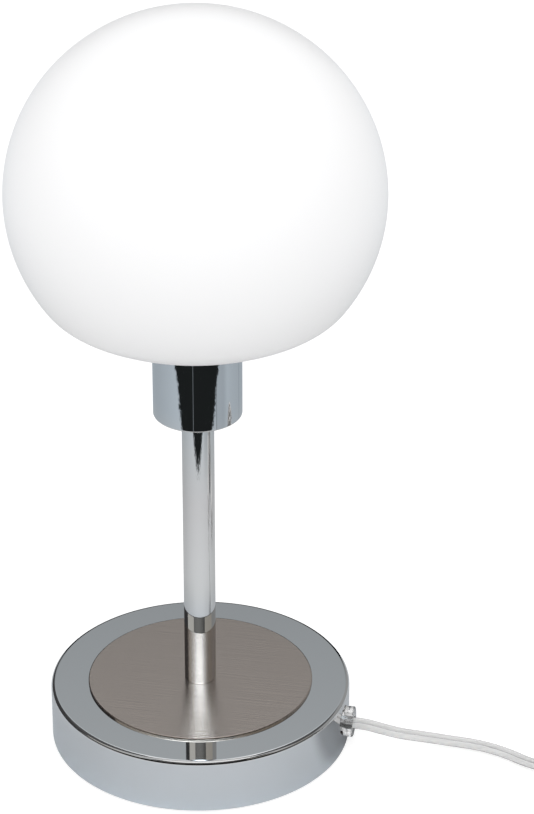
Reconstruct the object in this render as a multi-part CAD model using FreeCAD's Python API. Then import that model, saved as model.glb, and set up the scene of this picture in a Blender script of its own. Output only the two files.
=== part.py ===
import FreeCAD, Part
import math
import os

# Glass globe table lamp: an opal glass globe on a chrome cup, a chrome stem and a round
# weighted base, with a clear twin flex, its rocker switch and its flat two-pin plug.
# Millimetres, +Z up. The origin is the centre of the underside, +X is the way the flex leaves.

V = FreeCAD.Vector

# Base: drum, plate on top, ballast and closing plate
drum_radius = 60.0
drum_height = 22.5
drum_wall = 1.2
drum_edge = 1.2
drum_floor_gap = 0.5
plate_radius = 45.0
plate_thickness = 1.0
plate_edge = 0.3
ballast_clearance = 1.3
ballast_height = 14.8
ballast_edge = 1.5
ballast_web = 4.0
ballast_pocket = 13.0
ballast_leg_radius = 5.0
ballast_leg_inset = 11.5
ballast_leg_count = 3
flex_channel_width = 9.0
gland_slot_width = 19.0
gland_slot_depth = 16.0
pad_thickness = 1.2
pad_margin = 3.0
pad_edge = 0.3
bottom_plate_thickness = 1.2
bottom_plate_clearance = 0.6
base_screw_radius = 2.0
base_screw_head = 3.8
base_screw_length = 11.0

# Threaded tube, its nut and washer, and the stem
rod_radius = 5.0
rod_bore = 4.0
rod_below_nut = 1.0
rod_edge = 0.4
nut_flats = 14.0
nut_height = 4.0
washer_radius = 10.0
washer_thickness = 0.8
stem_radius = 6.3
stem_wall = 1.0
stem_length = 120.1
stem_edge = 0.2

# Cup, lampholder and the clip that holds the glass
cup_radius = 17.2
cup_height = 33.5
cup_wall = 0.8
cup_floor = 1.0
cup_edge = 0.5
clip_sheet = 0.4
clip_arm_width = 5.0
clip_arm_count = 3
clip_first_angle = 30.0
clip_bow = 0.9
clip_lead = 1.0
clip_tip = 0.5
holder_radius = 12.0
holder_wall = 1.8
holder_cap_height = 20.0
holder_cap_floor = 7.0
holder_seat_height = 14.5
holder_edge = 1.5
holder_terminal_room = 8.6
insert_height = 9.5
insert_edge = 0.4
rivet_radius = 1.0
shell_height = 22.5
shell_edge = 0.8
shell_flare_depth = 5.0
shell_taper = 1.5
cap_bore = 7.3
terminal_offset = 5.5
terminal_width = 4.6
terminal_length = 5.6
terminal_drop = 2.0
terminal_screw_level = 1.9
terminal_screw_head = 1.8
terminal_head_height = 0.9
terminal_hole_depth = 4.5
contact_sheet = 0.4
contact_width = 4.0
contact_rise = 2.6
contact_tab = 1.6
contact_tip = 2.0
side_contact_rise = 9.0
side_contact_bow = 1.2

# Bulb: small screw cap and a tubular envelope
bulb_cap_radius = 6.9
bulb_cap_height = 14.5
bulb_cap_wall = 0.4
bulb_tip_radius = 2.4
bulb_tip_height = 1.0
bulb_cap_bevel = 0.6
bulb_insulator_height = 2.8
bulb_neck_radius = 6.4
bulb_radius = 12.5
bulb_wall = 0.8
bulb_length = 61.0
bulb_flare_height = 9.0
bulb_flare_round = 5.0
bulb_neck_round = 3.0
bulb_neck_depth = 3.0
bulb_stem_radius = 1.8
bulb_stem_rise = 4.0
filament_radius = 0.8
filament_length = 26.0
filament_offset = 4.0
filament_wire = 0.4

# Glass globe and its gasket
globe_radius = 71.3
globe_crown = 70.2
globe_crown_angle = 45.0
globe_side_radius = 67.0
globe_side_sweep = 35.0
globe_shoulder_radius = 18.7
globe_dish_radius = 106.0
globe_wall = 2.6
globe_seat_margin = 0.4
neck_radius = 15.8
neck_wall = 2.0
neck_length = 7.0
gasket_thickness = 0.6

# Flex and its entry into the drum
flex_radius = 2.5
lead_radius = 1.1
lead_spacing = 2.8
gland_height = 9.3
gland_radius = 6.15
gland_flange = 2.8
gland_bore = 3.2
gland_shank = 5.0
gland_length = 12.0
gland_nut_flats = 13.0
gland_nut_height = 3.5
gland_drop = 0.6
gland_edge = 0.6
tail_overhang = 2.0
lead_drop = 6.0
clamp_length = 8.0
clamp_width = 26.0
clamp_thickness = 2.4
clamp_screw_spacing = 18.0
clamp_screw_radius = 1.5
clamp_screw_reach = 5.0
clamp_hole_depth = 6.0
clamp_margin = 1.5
small_head_radius = 2.8
small_head_height = 1.8

# Rocker switch on the flex
switch_x = 202.0
switch_y = -20.5
switch_length = 58.0
switch_width = 24.0
switch_base_height = 7.5
switch_cover_height = 8.0
switch_wall = 1.6
switch_corner = 6.0
switch_edge = 2.0
switch_base_edge = 0.8
rocker_radius = 9.7
rocker_width = 11.0
rocker_pivot_height = 11.5
rocker_top = 4.2
rocker_rise = 0.9
rocker_skirt = 1.6
rocker_tilt = 10.0
rocker_gap = 0.3
rocker_stem = 4.4
rocker_well = 2.8
rocker_pin_radius = 1.0
rocker_pin_length = 15.0
rocker_cheek_length = 6.0
rocker_cheek_drop = 2.0
plunger_radius = 1.2
plunger_reach = 6.6
plunger_length = 3.4
plunger_sleeve = 1.0
spring_wire = 0.3
spring_turns = 4
blade_length = 16.0
blade_width = 4.0
blade_thickness = 0.5
blade_tilt = 6.0
blade_pivot_height = 4.2
fulcrum_radius = 0.25
fulcrum_half = 1.5
fulcrum_neck = 0.1
contact_pad_radius = 1.0
contact_pad_height = 0.5
contact_pad_place = 6.8
fixed_pad_margin = 0.3
terminal_strip = 0.6
terminal_block_place = 14.0
terminal_block = 5.0
terminal_block_width = 4.2
neutral_offset = 6.6
neutral_half_length = 5.6
neutral_radius = 1.9
neutral_screw_inset = 2.2
grip_place = 23.0
grip_size = 4.0
grip_screw_offset = 6.2
grip_screw_radius = 1.0
grip_screw_depth = 4.0
grip_margin = 2.0
grip_crown = 1.4
grip_head_radius = 1.9
grip_head_height = 1.2
case_screw_x = 13.4
case_screw_y = 8.3
case_screw_radius = 1.2
case_post_radius = 2.3
case_head = 2.3
case_head_height = 1.0
case_screw_cover = 3.0
switch_flex_inside = 8.4
terminal_block_height = 5.8
terminal_core_height = 4.4
core_radius = 0.9
screw_shank = 1.2
link_screw_shank = 0.96
screw_head = 1.9
screw_head_height = 1.1
link_head = 1.4
link_head_height = 0.9

# Coil of the flex that is put away, and its strap
coil_turns = 9.125
coil_middle_radius = 25.5
coil_layers = 4
coil_pitch = 5.7
coil_layer_rise = 5.6
coil_x = 232.5
coil_y = 32.0
tie_thickness = 0.8
tie_width = 7.0
tie_angle = 200.0
tie_corner = 2.0

# Flat two-pin plug, lying on its side with the pins towards the lamp
plug_length = 35.0
plug_width = 35.3
plug_thickness = 13.7
plug_tail_width = 15.0
plug_tail_thickness = 11.0
plug_waist = 0.45
plug_waist_width = 30.4
plug_corner = 5.0
relief_length = 14.5
relief_start_radius = 4.6
relief_end_radius = 3.3
relief_grooves = 4
relief_groove_width = 1.0
relief_groove_depth = 0.5
pin_spacing = 18.6
pin_radius = 2.0
pin_length = 19.0
pin_tip_round = 1.6
pin_root = 5.0
pin_root_radius = 1.6
sleeve_length = 10.0
sleeve_wall = 0.3

# Clearances
screw_clearance = 0.05
shaft_clearance = 0.04
thread_clearance = 0.1
seat_gap = 0.1
loose_gap = 0.3

# Sizes that follow from those above
tube_hole = rod_radius + thread_clearance
drum_inside = drum_radius - drum_wall
ballast_radius = drum_inside - ballast_clearance
ballast_leg_circle = ballast_radius - ballast_leg_inset
slot_start = ballast_radius - gland_slot_depth
clamp_position = slot_start - clamp_margin - clamp_length / 2
neck_bore = neck_radius - neck_wall
insert_radius = holder_radius - holder_wall

# Levels of the stack, from the floor up
drum_bottom = drum_floor_gap
drum_top = drum_bottom + drum_height
drum_ceiling = drum_top - drum_wall
ballast_bottom = drum_ceiling - ballast_height
bottom_plate_top = pad_thickness + bottom_plate_thickness
web_bottom = drum_ceiling - ballast_web
nut_bottom = web_bottom - washer_thickness - nut_height
rod_bottom = nut_bottom - rod_below_nut
stem_bottom = drum_top + plate_thickness
cup_bottom = stem_bottom + stem_length
cup_top = cup_bottom + cup_height
holder_bottom = cup_bottom + cup_floor + clip_sheet
rod_top = holder_bottom + holder_cap_floor - seat_gap
holder_joint = holder_bottom + holder_cap_height
insert_bottom = holder_bottom + holder_seat_height
insert_top = insert_bottom + insert_height
holder_top = holder_joint + shell_height
globe_seat = cup_top + gasket_thickness
contact_top = insert_top + contact_rise
bulb_bottom = contact_top + seat_gap
flex_height = gland_height - gland_drop

node = {}


def rounded_wire(corners, place):
    """Closed wire through corners (u, v, radius), each rounded, with place to turn u, v into a point."""
    count = len(corners)
    edges = []
    entries = []
    exits = []
    for k, (u, v, radius) in enumerate(corners):
        before = corners[k - 1]
        after = corners[(k + 1) % count]
        here = V(u, v, 0)
        back = (V(before[0], before[1], 0) - here).normalize()
        ahead = (V(after[0], after[1], 0) - here).normalize()
        if radius <= 0:
            entries.append((here, None))
            exits.append(here)
            continue
        half = back.getAngle(ahead) / 2
        reach = radius / math.tan(half)
        bisector = (back + ahead).normalize()
        middle = here + bisector * (radius / math.sin(half) - radius)
        entries.append((here + back * reach, middle))
        exits.append(here + ahead * reach)
    for k in range(count):
        entry, middle = entries[k]
        if middle is not None:
            edges.append(Part.Arc(place(entry), place(middle), place(exits[k])).toShape())
        following = entries[(k + 1) % count][0]
        if exits[k].distanceToPoint(following) > 1e-6:
            edges.append(Part.LineSegment(place(exits[k]), place(following)).toShape())
    return Part.Wire(edges)


def upright(point):
    """A profile point as (radius, height) in the XZ plane."""
    return V(point.x, 0, point.y)


def turned(*corners):
    """Solid of revolution about Z of a profile given as (radius, height) or (radius, height, rounding)."""
    full = [corner if len(corner) == 3 else (*corner, 0) for corner in corners]
    return Part.Face(rounded_wire(full, upright)).revolve(V(0, 0, 0), V(0, 0, 1), 360)


def rod(radius, length, start, direction=V(0, 0, 1)):
    return Part.makeCylinder(radius, length, start, direction)


def block(x0, x1, y0, y1, z0, z1):
    return Part.makeBox(x1 - x0, y1 - y0, z1 - z0, V(x0, y0, z0))


def slab(length, width, corner, bottom, height, x=0, y=0):
    """Upright prism with a rounded rectangle as its plan, centred on x, y."""
    half_x, half_y = length / 2, width / 2
    plan = [(half_x, half_y), (-half_x, half_y), (-half_x, -half_y), (half_x, -half_y)]
    wire = rounded_wire([(a, b, corner) for a, b in plan], lambda p: V(x + p.x, y + p.y, bottom))
    return Part.Face(wire).extrude(V(0, 0, height))


def hex_nut(flats, height, hole, start, direction=V(0, 0, 1)):
    """Hexagon of the given width across flats with a round hole, starting at start."""
    corner = flats / math.sqrt(3)
    turns = [math.radians(60 * k + 30) for k in range(6)]
    points = [V(corner * math.cos(a), corner * math.sin(a), 0) for a in turns]
    nut = Part.Face(Part.makePolygon(points + points[:1])).extrude(V(0, 0, height))
    nut = nut.cut(rod(hole, height, V(0, 0, 0)))
    nut.Placement = FreeCAD.Placement(start, FreeCAD.Rotation(V(0, 0, 1), direction))
    return nut


def round_group(count, first, make):
    """Compound of make() turned about Z to count places, the first at the angle first."""
    turn = [first + 360 * k / count for k in range(count)]
    return Part.makeCompound([turned_copy(make(), angle) for angle in turn])


def turned_copy(shape, angle):
    copy = shape.copy()
    copy.rotate(V(0, 0, 0), V(0, 0, 1), angle)
    return copy


def pan_screw(radius, length, head_radius, head_height, start, direction):
    """Screw whose head's top is at start and whose shank points along direction."""
    head = rod(head_radius, head_height, start, direction)
    head = head.makeFillet(head_height * 0.4, [edge for edge in head.Edges if edge.Length > 1 and
                                               edge.BoundBox.Center.distanceToPoint(start) < 0.01])
    return head.fuse(rod(radius, length, start + direction * head_height, direction)).removeSplitter()


def tangent_route(points, ratio=0.45):
    """Straight runs joined by tangent arcs, each as large as its shorter run allows, and the radii."""
    edges = []
    radii = []
    at = points[0]
    for before, here, after in zip(points, points[1:], points[2:]):
        back = before - here
        ahead = after - here
        reach = ratio * min(back.Length, ahead.Length)
        back.normalize()
        ahead.normalize()
        half = back.getAngle(ahead) / 2
        radius = reach * math.tan(half)
        middle = here + (back + ahead).normalize() * (radius / math.sin(half) - radius)
        entry = here + back * reach
        leave = here + ahead * reach
        edges.append(Part.LineSegment(at, entry).toShape())
        edges.append(Part.Arc(entry, middle, leave).toShape())
        radii.append(radius)
        at = leave
    edges.append(Part.LineSegment(at, points[-1]).toShape())
    return edges, radii


def swept_tube(name, edges, radius, start, direction):
    """Round tube along a chain of edges, whose volume is compared with its section times its length."""
    path = Part.Wire(edges)
    circle = Part.Wire(Part.Circle(start, direction, radius).toShape())
    tube = path.makePipeShell([circle], True, False)
    expected = math.pi * radius ** 2 * path.Length
    print(f"{name}: length {path.Length:.1f}, volume {tube.Volume / expected:.4f} of section times length")
    return tube


def routed_tube(name, places, radius):
    """Tube along a route of chosen points."""
    points = [V(*place) for place in places]
    edges, radii = tangent_route(points)
    tube = swept_tube(name, edges, radius, points[0], points[1] - points[0])
    print(f"{name}: bend radii " + ", ".join(f"{bend:.1f}" for bend in radii))
    return tube


# Base
drum = turned((tube_hole, drum_ceiling), (drum_inside, drum_ceiling, drum_edge / 2),
              (drum_inside, drum_bottom), (drum_radius, drum_bottom),
              (drum_radius, drum_top, drum_edge), (tube_hole, drum_top))
gland_axis_point = V(0, 0, gland_height)
along_flex = V(1, 0, 0)
drum = drum.cut(rod(gland_shank + thread_clearance, drum_radius * 2, gland_axis_point, along_flex))
node["drum_cover"] = drum

node["top_plate"] = turned((tube_hole, drum_top), (plate_radius, drum_top),
                           (plate_radius, stem_bottom, plate_edge), (tube_hole, stem_bottom))

ballast = turned((tube_hole, web_bottom), (ballast_pocket, web_bottom, 1.0),
                 (ballast_pocket, ballast_bottom), (ballast_radius, ballast_bottom, ballast_edge),
                 (ballast_radius, drum_ceiling, ballast_edge), (tube_hole, drum_ceiling))
half_slot = gland_slot_width / 2
ballast = ballast.cut(block(slot_start, drum_radius, -half_slot, half_slot, 0, drum_ceiling))
half_channel = flex_channel_width / 2
channel_roof = flex_height + flex_radius + loose_gap
ballast = ballast.cut(block(0, drum_radius, -half_channel, half_channel, 0, channel_roof))
leg_first = 180 / ballast_leg_count
legs = round_group(ballast_leg_count, leg_first, lambda: rod(
    ballast_leg_radius, ballast_bottom - bottom_plate_top, V(ballast_leg_circle, 0, bottom_plate_top)))
ballast = ballast.fuse(legs).removeSplitter()
screw_hole = base_screw_radius + screw_clearance
ballast = ballast.cut(round_group(ballast_leg_count, leg_first, lambda: rod(
    screw_hole, base_screw_length, V(ballast_leg_circle, 0, pad_thickness))))
clamp_screw_places = [V(clamp_position, side * clamp_screw_spacing / 2, 0) for side in (-1, 1)]
for place in clamp_screw_places:
    ballast = ballast.cut(rod(clamp_screw_radius + screw_clearance, clamp_hole_depth,
                              place + V(0, 0, ballast_bottom)))
node["ballast_weight"] = ballast

bottom_plate_radius = drum_inside - bottom_plate_clearance
bottom_plate = rod(bottom_plate_radius, bottom_plate_thickness, V(0, 0, pad_thickness))
countersink = Part.makeCone(base_screw_head + screw_clearance, screw_hole, bottom_plate_thickness,
                            V(ballast_leg_circle, 0, pad_thickness))
node["bottom_plate"] = bottom_plate.cut(round_group(ballast_leg_count, leg_first, lambda: countersink))


def base_screw():
    head = Part.makeCone(base_screw_head, base_screw_radius, bottom_plate_thickness,
                         V(ballast_leg_circle, 0, pad_thickness))
    shank = rod(base_screw_radius, base_screw_length - bottom_plate_thickness - loose_gap,
                V(ballast_leg_circle, 0, bottom_plate_top))
    return head.fuse(shank)


node["base_screws"] = round_group(ballast_leg_count, leg_first, base_screw)
pad_radius = drum_radius - pad_margin
node["base_pad"] = turned((0, 0), (pad_radius, 0, pad_edge), (pad_radius, pad_thickness), (0, pad_thickness))

# Threaded tube with its washer and nut, and the stem round it
node["threaded_tube"] = turned((rod_bore, rod_bottom), (rod_radius, rod_bottom, rod_edge),
                               (rod_radius, rod_top, rod_edge), (rod_bore, rod_top))
washer_bottom = web_bottom - washer_thickness
node["rod_washer"] = turned((tube_hole, washer_bottom), (washer_radius, washer_bottom),
                            (washer_radius, web_bottom), (tube_hole, web_bottom))
node["rod_nut"] = hex_nut(nut_flats, nut_height, rod_radius + screw_clearance, V(0, 0, nut_bottom))
stem_bore = stem_radius - stem_wall
node["stem_tube"] = turned((stem_bore, stem_bottom), (stem_radius, stem_bottom, stem_edge),
                           (stem_radius, cup_bottom, stem_edge), (stem_bore, cup_bottom))

# Clear bush in the drum's side, its nut, the clamp under the ballast, and the flex and cores inside
gland_face = drum_radius + gland_flange
drum_outside = rod(drum_radius + screw_clearance, drum_top, V(0, 0, 0))
flange = rod(gland_radius, 2 * gland_flange, V(gland_face - 2 * gland_flange, 0, gland_height), along_flex)
flange = flange.cut(drum_outside)
face_edge = [edge for edge in flange.Edges if edge.BoundBox.XMin > gland_face - 0.01]
flange = flange.makeFillet(gland_edge, face_edge)
shank_start = gland_face - gland_flange - gland_length
shank = rod(gland_shank, gland_length + gland_flange / 2, V(shank_start, 0, gland_height), along_flex)
gland_hole = rod(gland_bore, drum_radius, V(shank_start, 0, gland_height), along_flex)
node["cord_gland"] = flange.fuse(shank).cut(gland_hole)

nut_reach = math.sqrt(drum_inside ** 2 - gland_nut_flats ** 2 / 3)
node["gland_nut"] = hex_nut(gland_nut_flats, gland_nut_height, gland_shank + screw_clearance,
                            V(nut_reach - screw_clearance - gland_nut_height, 0, gland_height), along_flex)

clamp_start = clamp_position - clamp_length / 2
clamp = block(clamp_start, clamp_start + clamp_length, -clamp_width / 2, clamp_width / 2,
              ballast_bottom - clamp_thickness, ballast_bottom)
clamp = clamp.cut(rod(flex_radius + screw_clearance, drum_radius, V(0, 0, flex_height), along_flex))
for place in clamp_screw_places:
    clamp = clamp.cut(rod(clamp_screw_radius + screw_clearance, drum_top, place))
node["cord_clamp"] = clamp
clamp_head_top = ballast_bottom - clamp_thickness - small_head_height
node["clamp_screws"] = Part.makeCompound([
    pan_screw(clamp_screw_radius, clamp_thickness + clamp_screw_reach, small_head_radius, small_head_height,
              place + V(0, 0, clamp_head_top), V(0, 0, 1)) for place in clamp_screw_places])

tail_end = clamp_start - tail_overhang
node["flex_tail"] = rod(flex_radius, gland_face - tail_end, V(tail_end, 0, flex_height), along_flex)

lead_low = rod_bottom - lead_drop
terminal_top = insert_bottom + terminal_length - terminal_drop
terminal_bottom = insert_bottom - terminal_drop
screw_level = terminal_bottom + terminal_screw_level


def inner_lead(name, side):
    """One core, from the clamp along the channel and up the threaded tube to its terminal."""
    near = side * lead_spacing / 2
    far = side * terminal_offset
    return routed_tube(name, [
        (tail_end, near, flex_height), (tail_end - 7, near, flex_height), (tail_end - 17, near, lead_low),
        (0, near, lead_low), (0, near, rod_top - 2.5), (0, far, rod_top + 5.0),
        (0, far, terminal_bottom + 1.5)], lead_radius)


node["live_lead"] = inner_lead("live_lead", 1)
node["neutral_lead"] = inner_lead("neutral_lead", -1)

# Cup under the globe
cup_inside = cup_radius - cup_wall
node["socket_cup"] = turned(
    (tube_hole, cup_bottom), (cup_radius, cup_bottom, cup_edge), (cup_radius, cup_top),
    (cup_inside, cup_top), (cup_inside, cup_bottom + cup_floor, cup_edge),
    (tube_hole, cup_bottom + cup_floor))

# Spring spider: a disc under the lampholder with arms that bow out into the glass neck
arm_inside = holder_radius + 2 * screw_clearance
arm_outside = arm_inside + clip_sheet
arm_foot = cup_bottom + cup_floor
arm_bend = globe_seat - neck_length - clip_lead
arm_peak = globe_seat - neck_length / 2
arm_top = globe_seat + clip_tip
bow_radius = neck_bore - loose_gap


def spring_arm():
    """Strip of even thickness that rises beside the lampholder, bows out to the neck and tips back in."""
    inner = [(arm_inside, arm_foot), (arm_inside, arm_bend), (bow_radius - clip_sheet, arm_peak),
             (arm_inside, arm_top)]
    outer = [(arm_outside, arm_top), (bow_radius, arm_peak), (arm_outside, arm_bend), (arm_outside, arm_foot)]
    corners = [(r, z, 0) for r, z in inner + outer]
    corners[2] = (*inner[2], clip_bow)
    corners[5] = (*outer[1], clip_bow + clip_sheet)
    strip = Part.Face(rounded_wire(corners, upright)).extrude(V(0, clip_arm_width, 0))
    strip.translate(V(0, -clip_arm_width / 2, 0))
    return strip


spider = rod(arm_outside, clip_sheet, V(0, 0, arm_foot))
spider = spider.fuse(round_group(clip_arm_count, clip_first_angle, spring_arm)).removeSplitter()
node["globe_clip"] = spider.cut(rod(tube_hole, clip_sheet, V(0, 0, arm_foot)))

# Lampholder: cap on the threaded tube, insert with the terminals and contacts, shell round the bulb's cap
cap_inside = insert_radius + screw_clearance
cap_hole = rod_radius + screw_clearance
cap_floor_top = holder_bottom + holder_cap_floor
node["holder_cap"] = turned(
    (cap_hole, holder_bottom), (holder_radius, holder_bottom, holder_edge), (holder_radius, holder_joint),
    (cap_inside, holder_joint), (cap_inside, insert_bottom), (holder_terminal_room, insert_bottom),
    (holder_terminal_room, cap_floor_top, 1.0), (cap_hole, cap_floor_top))

insert = turned((0, insert_bottom), (insert_radius, insert_bottom), (insert_radius, insert_top, insert_edge),
                (0, insert_top))
half_length = terminal_length / 2 + screw_clearance
half_width = terminal_width / 2 + screw_clearance
rivet_hole = rivet_radius + screw_clearance
driver_hole = terminal_screw_head + thread_clearance
for side in (-1, 1):
    y = side * terminal_offset
    pocket = block(-half_length, half_length, y - half_width, y + half_width, insert_bottom, terminal_top)
    insert = insert.cut(pocket)
    insert = insert.cut(rod(rivet_hole, insert_height, V(0, y, insert_bottom)))
    insert = insert.cut(rod(driver_hole, insert_radius, V(0, y, screw_level), along_flex))
node["holder_insert"] = insert

flare_bottom = holder_top - shell_flare_depth
shell = turned(
    (cap_inside, holder_joint), (holder_radius, holder_joint), (holder_radius, holder_top, shell_edge),
    (insert_radius, holder_top), (insert_radius, flare_bottom), (cap_bore, flare_bottom - shell_taper),
    (cap_bore, insert_top), (cap_inside, insert_top))
half_slot_width = contact_width / 2 + loose_gap
side_reach = cap_bore + side_contact_bow
side_contact_top = insert_top + side_contact_rise
side_slot = block(-half_slot_width, half_slot_width, 0, side_reach + contact_sheet, insert_top,
                  side_contact_top + loose_gap)
node["holder_shell"] = shell.cut(side_slot)


def contact_strip(corners):
    """Strip of the contacts' width from its profile (y, z, rounding)."""
    wire = rounded_wire(corners, lambda p: V(-contact_width / 2, p.x, p.y))
    return Part.Face(wire).extrude(V(contact_width, 0, 0))


bend = 0.5
outer_bend = bend + contact_sheet
tab_start = -terminal_offset - contact_tab
tab_end = -terminal_offset + contact_tab
strip_under = contact_top - contact_sheet
centre_contact = contact_strip([
    (tab_start, insert_top, 0), (tab_end, insert_top, bend), (-contact_tip, strip_under, bend),
    (contact_tip, strip_under, 0), (contact_tip, contact_top, 0), (-contact_tip, contact_top, outer_bend),
    (tab_end, insert_top + contact_sheet, outer_bend), (tab_start, insert_top + contact_sheet, 0)])
rivet_height = insert_top - terminal_top
node["centre_contact"] = centre_contact.fuse(
    rod(rivet_radius, rivet_height, V(0, -terminal_offset, terminal_top))).removeSplitter()

side_tip = cap_bore + thread_clearance
side_start = terminal_offset - contact_tab
side_contact = contact_strip([
    (side_start, insert_top, 0), (side_reach, insert_top, outer_bend),
    (side_tip + contact_sheet, side_contact_top, 0), (side_tip, side_contact_top, 0),
    (side_reach - contact_sheet, insert_top + contact_sheet, bend),
    (side_start, insert_top + contact_sheet, 0)])
node["side_contact"] = side_contact.fuse(
    rod(rivet_radius, rivet_height, V(0, terminal_offset, terminal_top))).removeSplitter()


def holder_terminal(side):
    """Brass block with a hole for the core from below and a cross hole for its screw."""
    centre = V(0, side * terminal_offset, terminal_bottom)
    body = block(-terminal_length / 2, terminal_length / 2, centre.y - terminal_width / 2,
                 centre.y + terminal_width / 2, terminal_bottom, terminal_top)
    body = body.cut(rod(lead_radius + screw_clearance, terminal_hole_depth, centre))
    screw_start = V(0, centre.y, screw_level)
    return body.cut(rod(clamp_screw_radius + screw_clearance, terminal_length, screw_start, along_flex))


node["holder_terminals"] = Part.makeCompound([holder_terminal(-1), holder_terminal(1)])
terminal_screw_length = terminal_length / 2 - lead_radius
node["terminal_screws"] = Part.makeCompound([
    pan_screw(clamp_screw_radius, terminal_screw_length, terminal_screw_head, terminal_head_height,
              V(terminal_length / 2 + terminal_head_height, side * terminal_offset, screw_level), V(-1, 0, 0))
    for side in (-1, 1)])

# Gasket and globe
gasket_outside = cup_radius - seat_gap
node["globe_gasket"] = turned((cup_inside, cup_top), (gasket_outside, cup_top), (gasket_outside, globe_seat),
                              (cup_inside, globe_seat))

sweep = math.radians(globe_side_sweep)
side_centre = globe_radius - globe_side_radius
shoulder_offset = globe_side_radius - globe_shoulder_radius
shoulder_r = side_centre + shoulder_offset * math.cos(sweep)
shoulder_drop = shoulder_offset * math.sin(sweep)
dish_lift = math.sqrt((globe_dish_radius - globe_shoulder_radius) ** 2 - shoulder_r ** 2)
shoulder_end = math.atan2(dish_lift, shoulder_r)
seat_edge = cup_radius + globe_seat_margin
seat_below_dish_centre = math.sqrt(globe_dish_radius ** 2 - seat_edge ** 2)
dish_centre = globe_seat + seat_below_dish_centre
shoulder_z = dish_centre - dish_lift
equator = shoulder_z + shoulder_drop
meet = math.radians(globe_crown_angle)
meet_r, meet_z = math.cos(meet), math.sin(meet)
upper_radius = (globe_crown * meet_r - globe_radius * (1 - meet_z)) / (meet_r + meet_z - 1)
crown_radius = (globe_radius - upper_radius * (1 - meet_r)) / meet_r


def arc_about(centre_r, centre_z, radius, start, end):
    """Arc in the XZ plane about a centre, between two angles below the horizontal."""
    points = [V(centre_r + radius * math.cos(a), 0, centre_z - radius * math.sin(a))
              for a in (start, (start + end) / 2, end)]
    return Part.Arc(*points).toShape()


def globe_side(inset):
    """Edges of the globe's profile from crown to dish, each moved inwards by inset."""
    dish = globe_dish_radius - inset
    dish_end = math.acos((seat_edge if inset == 0 else neck_bore) / dish)
    return [arc_about(0, equator + globe_crown - crown_radius, crown_radius - inset, -math.pi / 2, -meet),
            arc_about(globe_radius - upper_radius, equator, upper_radius - inset, -meet, 0),
            arc_about(side_centre, equator, globe_side_radius - inset, 0, sweep),
            arc_about(shoulder_r, shoulder_z, globe_shoulder_radius - inset, sweep, shoulder_end),
            arc_about(0, dish_centre, dish, shoulder_end, dish_end)]


neck_bottom = globe_seat - neck_length
dish_inside = dish_centre - math.sqrt((globe_dish_radius - globe_wall) ** 2 - neck_bore ** 2)
neck_round = neck_wall / 2
lip_top = neck_bottom + neck_round
neck_line = [V(seat_edge, 0, globe_seat), V(neck_radius, 0, globe_seat), V(neck_radius, 0, lip_top)]
neck_edges = [Part.LineSegment(a, b).toShape() for a, b in zip(neck_line, neck_line[1:])]
lip_middle = V(neck_radius - neck_round, 0, neck_bottom)
neck_edges.append(Part.Arc(neck_line[-1], lip_middle, V(neck_bore, 0, lip_top)).toShape())
neck_edges.append(Part.LineSegment(V(neck_bore, 0, lip_top), V(neck_bore, 0, dish_inside)).toShape())
crown_top = V(0, 0, equator + globe_crown)
crown_inside = V(0, 0, equator + globe_crown - globe_wall)
through_crown = Part.LineSegment(crown_top, crown_inside).toShape()
globe_edges = globe_side(0)[::-1] + [through_crown] + globe_side(globe_wall) + neck_edges[::-1]
globe_profile = Part.Face(Part.Wire(globe_edges))
node["globe"] = globe_profile.revolve(V(0, 0, 0), V(0, 0, 1), 360)
print(f"globe: equator at {equator:.1f}, top at {equator + globe_crown:.1f}")

# Bulb
insulator_bottom = bulb_bottom + bulb_tip_height
cap_shell_bottom = insulator_bottom + bulb_insulator_height
cap_shell_top = cap_shell_bottom + bulb_cap_height
bulb_top = bulb_bottom + bulb_length
node["bulb_tip"] = turned((0, bulb_bottom), (bulb_tip_radius, bulb_bottom, 0.5),
                          (bulb_tip_radius, insulator_bottom), (0, insulator_bottom))
cap_inner_radius = bulb_cap_radius - bulb_cap_wall
cap_inner_bottom = cap_shell_bottom + bulb_cap_wall
node["bulb_insulator"] = turned(
    (0, insulator_bottom), (bulb_tip_radius + bulb_cap_wall, insulator_bottom, 0.3),
    (cap_inner_radius - bulb_cap_bevel, cap_shell_bottom), (0, cap_shell_bottom))
node["bulb_cap"] = turned(
    (0, cap_shell_bottom), (bulb_cap_radius - bulb_cap_bevel, cap_shell_bottom, 0.3),
    (bulb_cap_radius, cap_shell_bottom + 1.5, 0.5), (bulb_cap_radius, cap_shell_top),
    (cap_inner_radius, cap_shell_top), (cap_inner_radius, cap_inner_bottom), (0, cap_inner_bottom))
neck_start = cap_shell_top - bulb_neck_depth
flare_start = cap_shell_top + 1.0
flare_end = flare_start + bulb_flare_height
neck_glass = bulb_neck_radius - bulb_wall
dome_radius = bulb_radius - 0.02
inner_dome = dome_radius - bulb_wall
inner_radius = bulb_radius - bulb_wall
inner_top = bulb_top - bulb_wall
node["bulb_envelope"] = turned(
    (neck_glass, neck_start), (bulb_neck_radius, neck_start),
    (bulb_neck_radius, flare_start, bulb_neck_round), (bulb_radius, flare_end, bulb_flare_round),
    (bulb_radius, bulb_top, dome_radius), (0, bulb_top), (0, inner_top),
    (inner_radius, inner_top, inner_dome), (inner_radius, flare_end, bulb_flare_round),
    (neck_glass, flare_start, bulb_neck_round))
stem_top = flare_end + bulb_stem_rise
stem_foot = neck_glass - seat_gap
node["bulb_stem"] = turned((0, neck_start), (stem_foot, neck_start), (stem_foot, neck_start + 1.0),
                           (bulb_stem_radius, flare_end, bulb_neck_round), (bulb_stem_radius, stem_top, 0.8),
                           (0, stem_top))
filament_top = stem_top + filament_length


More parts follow.
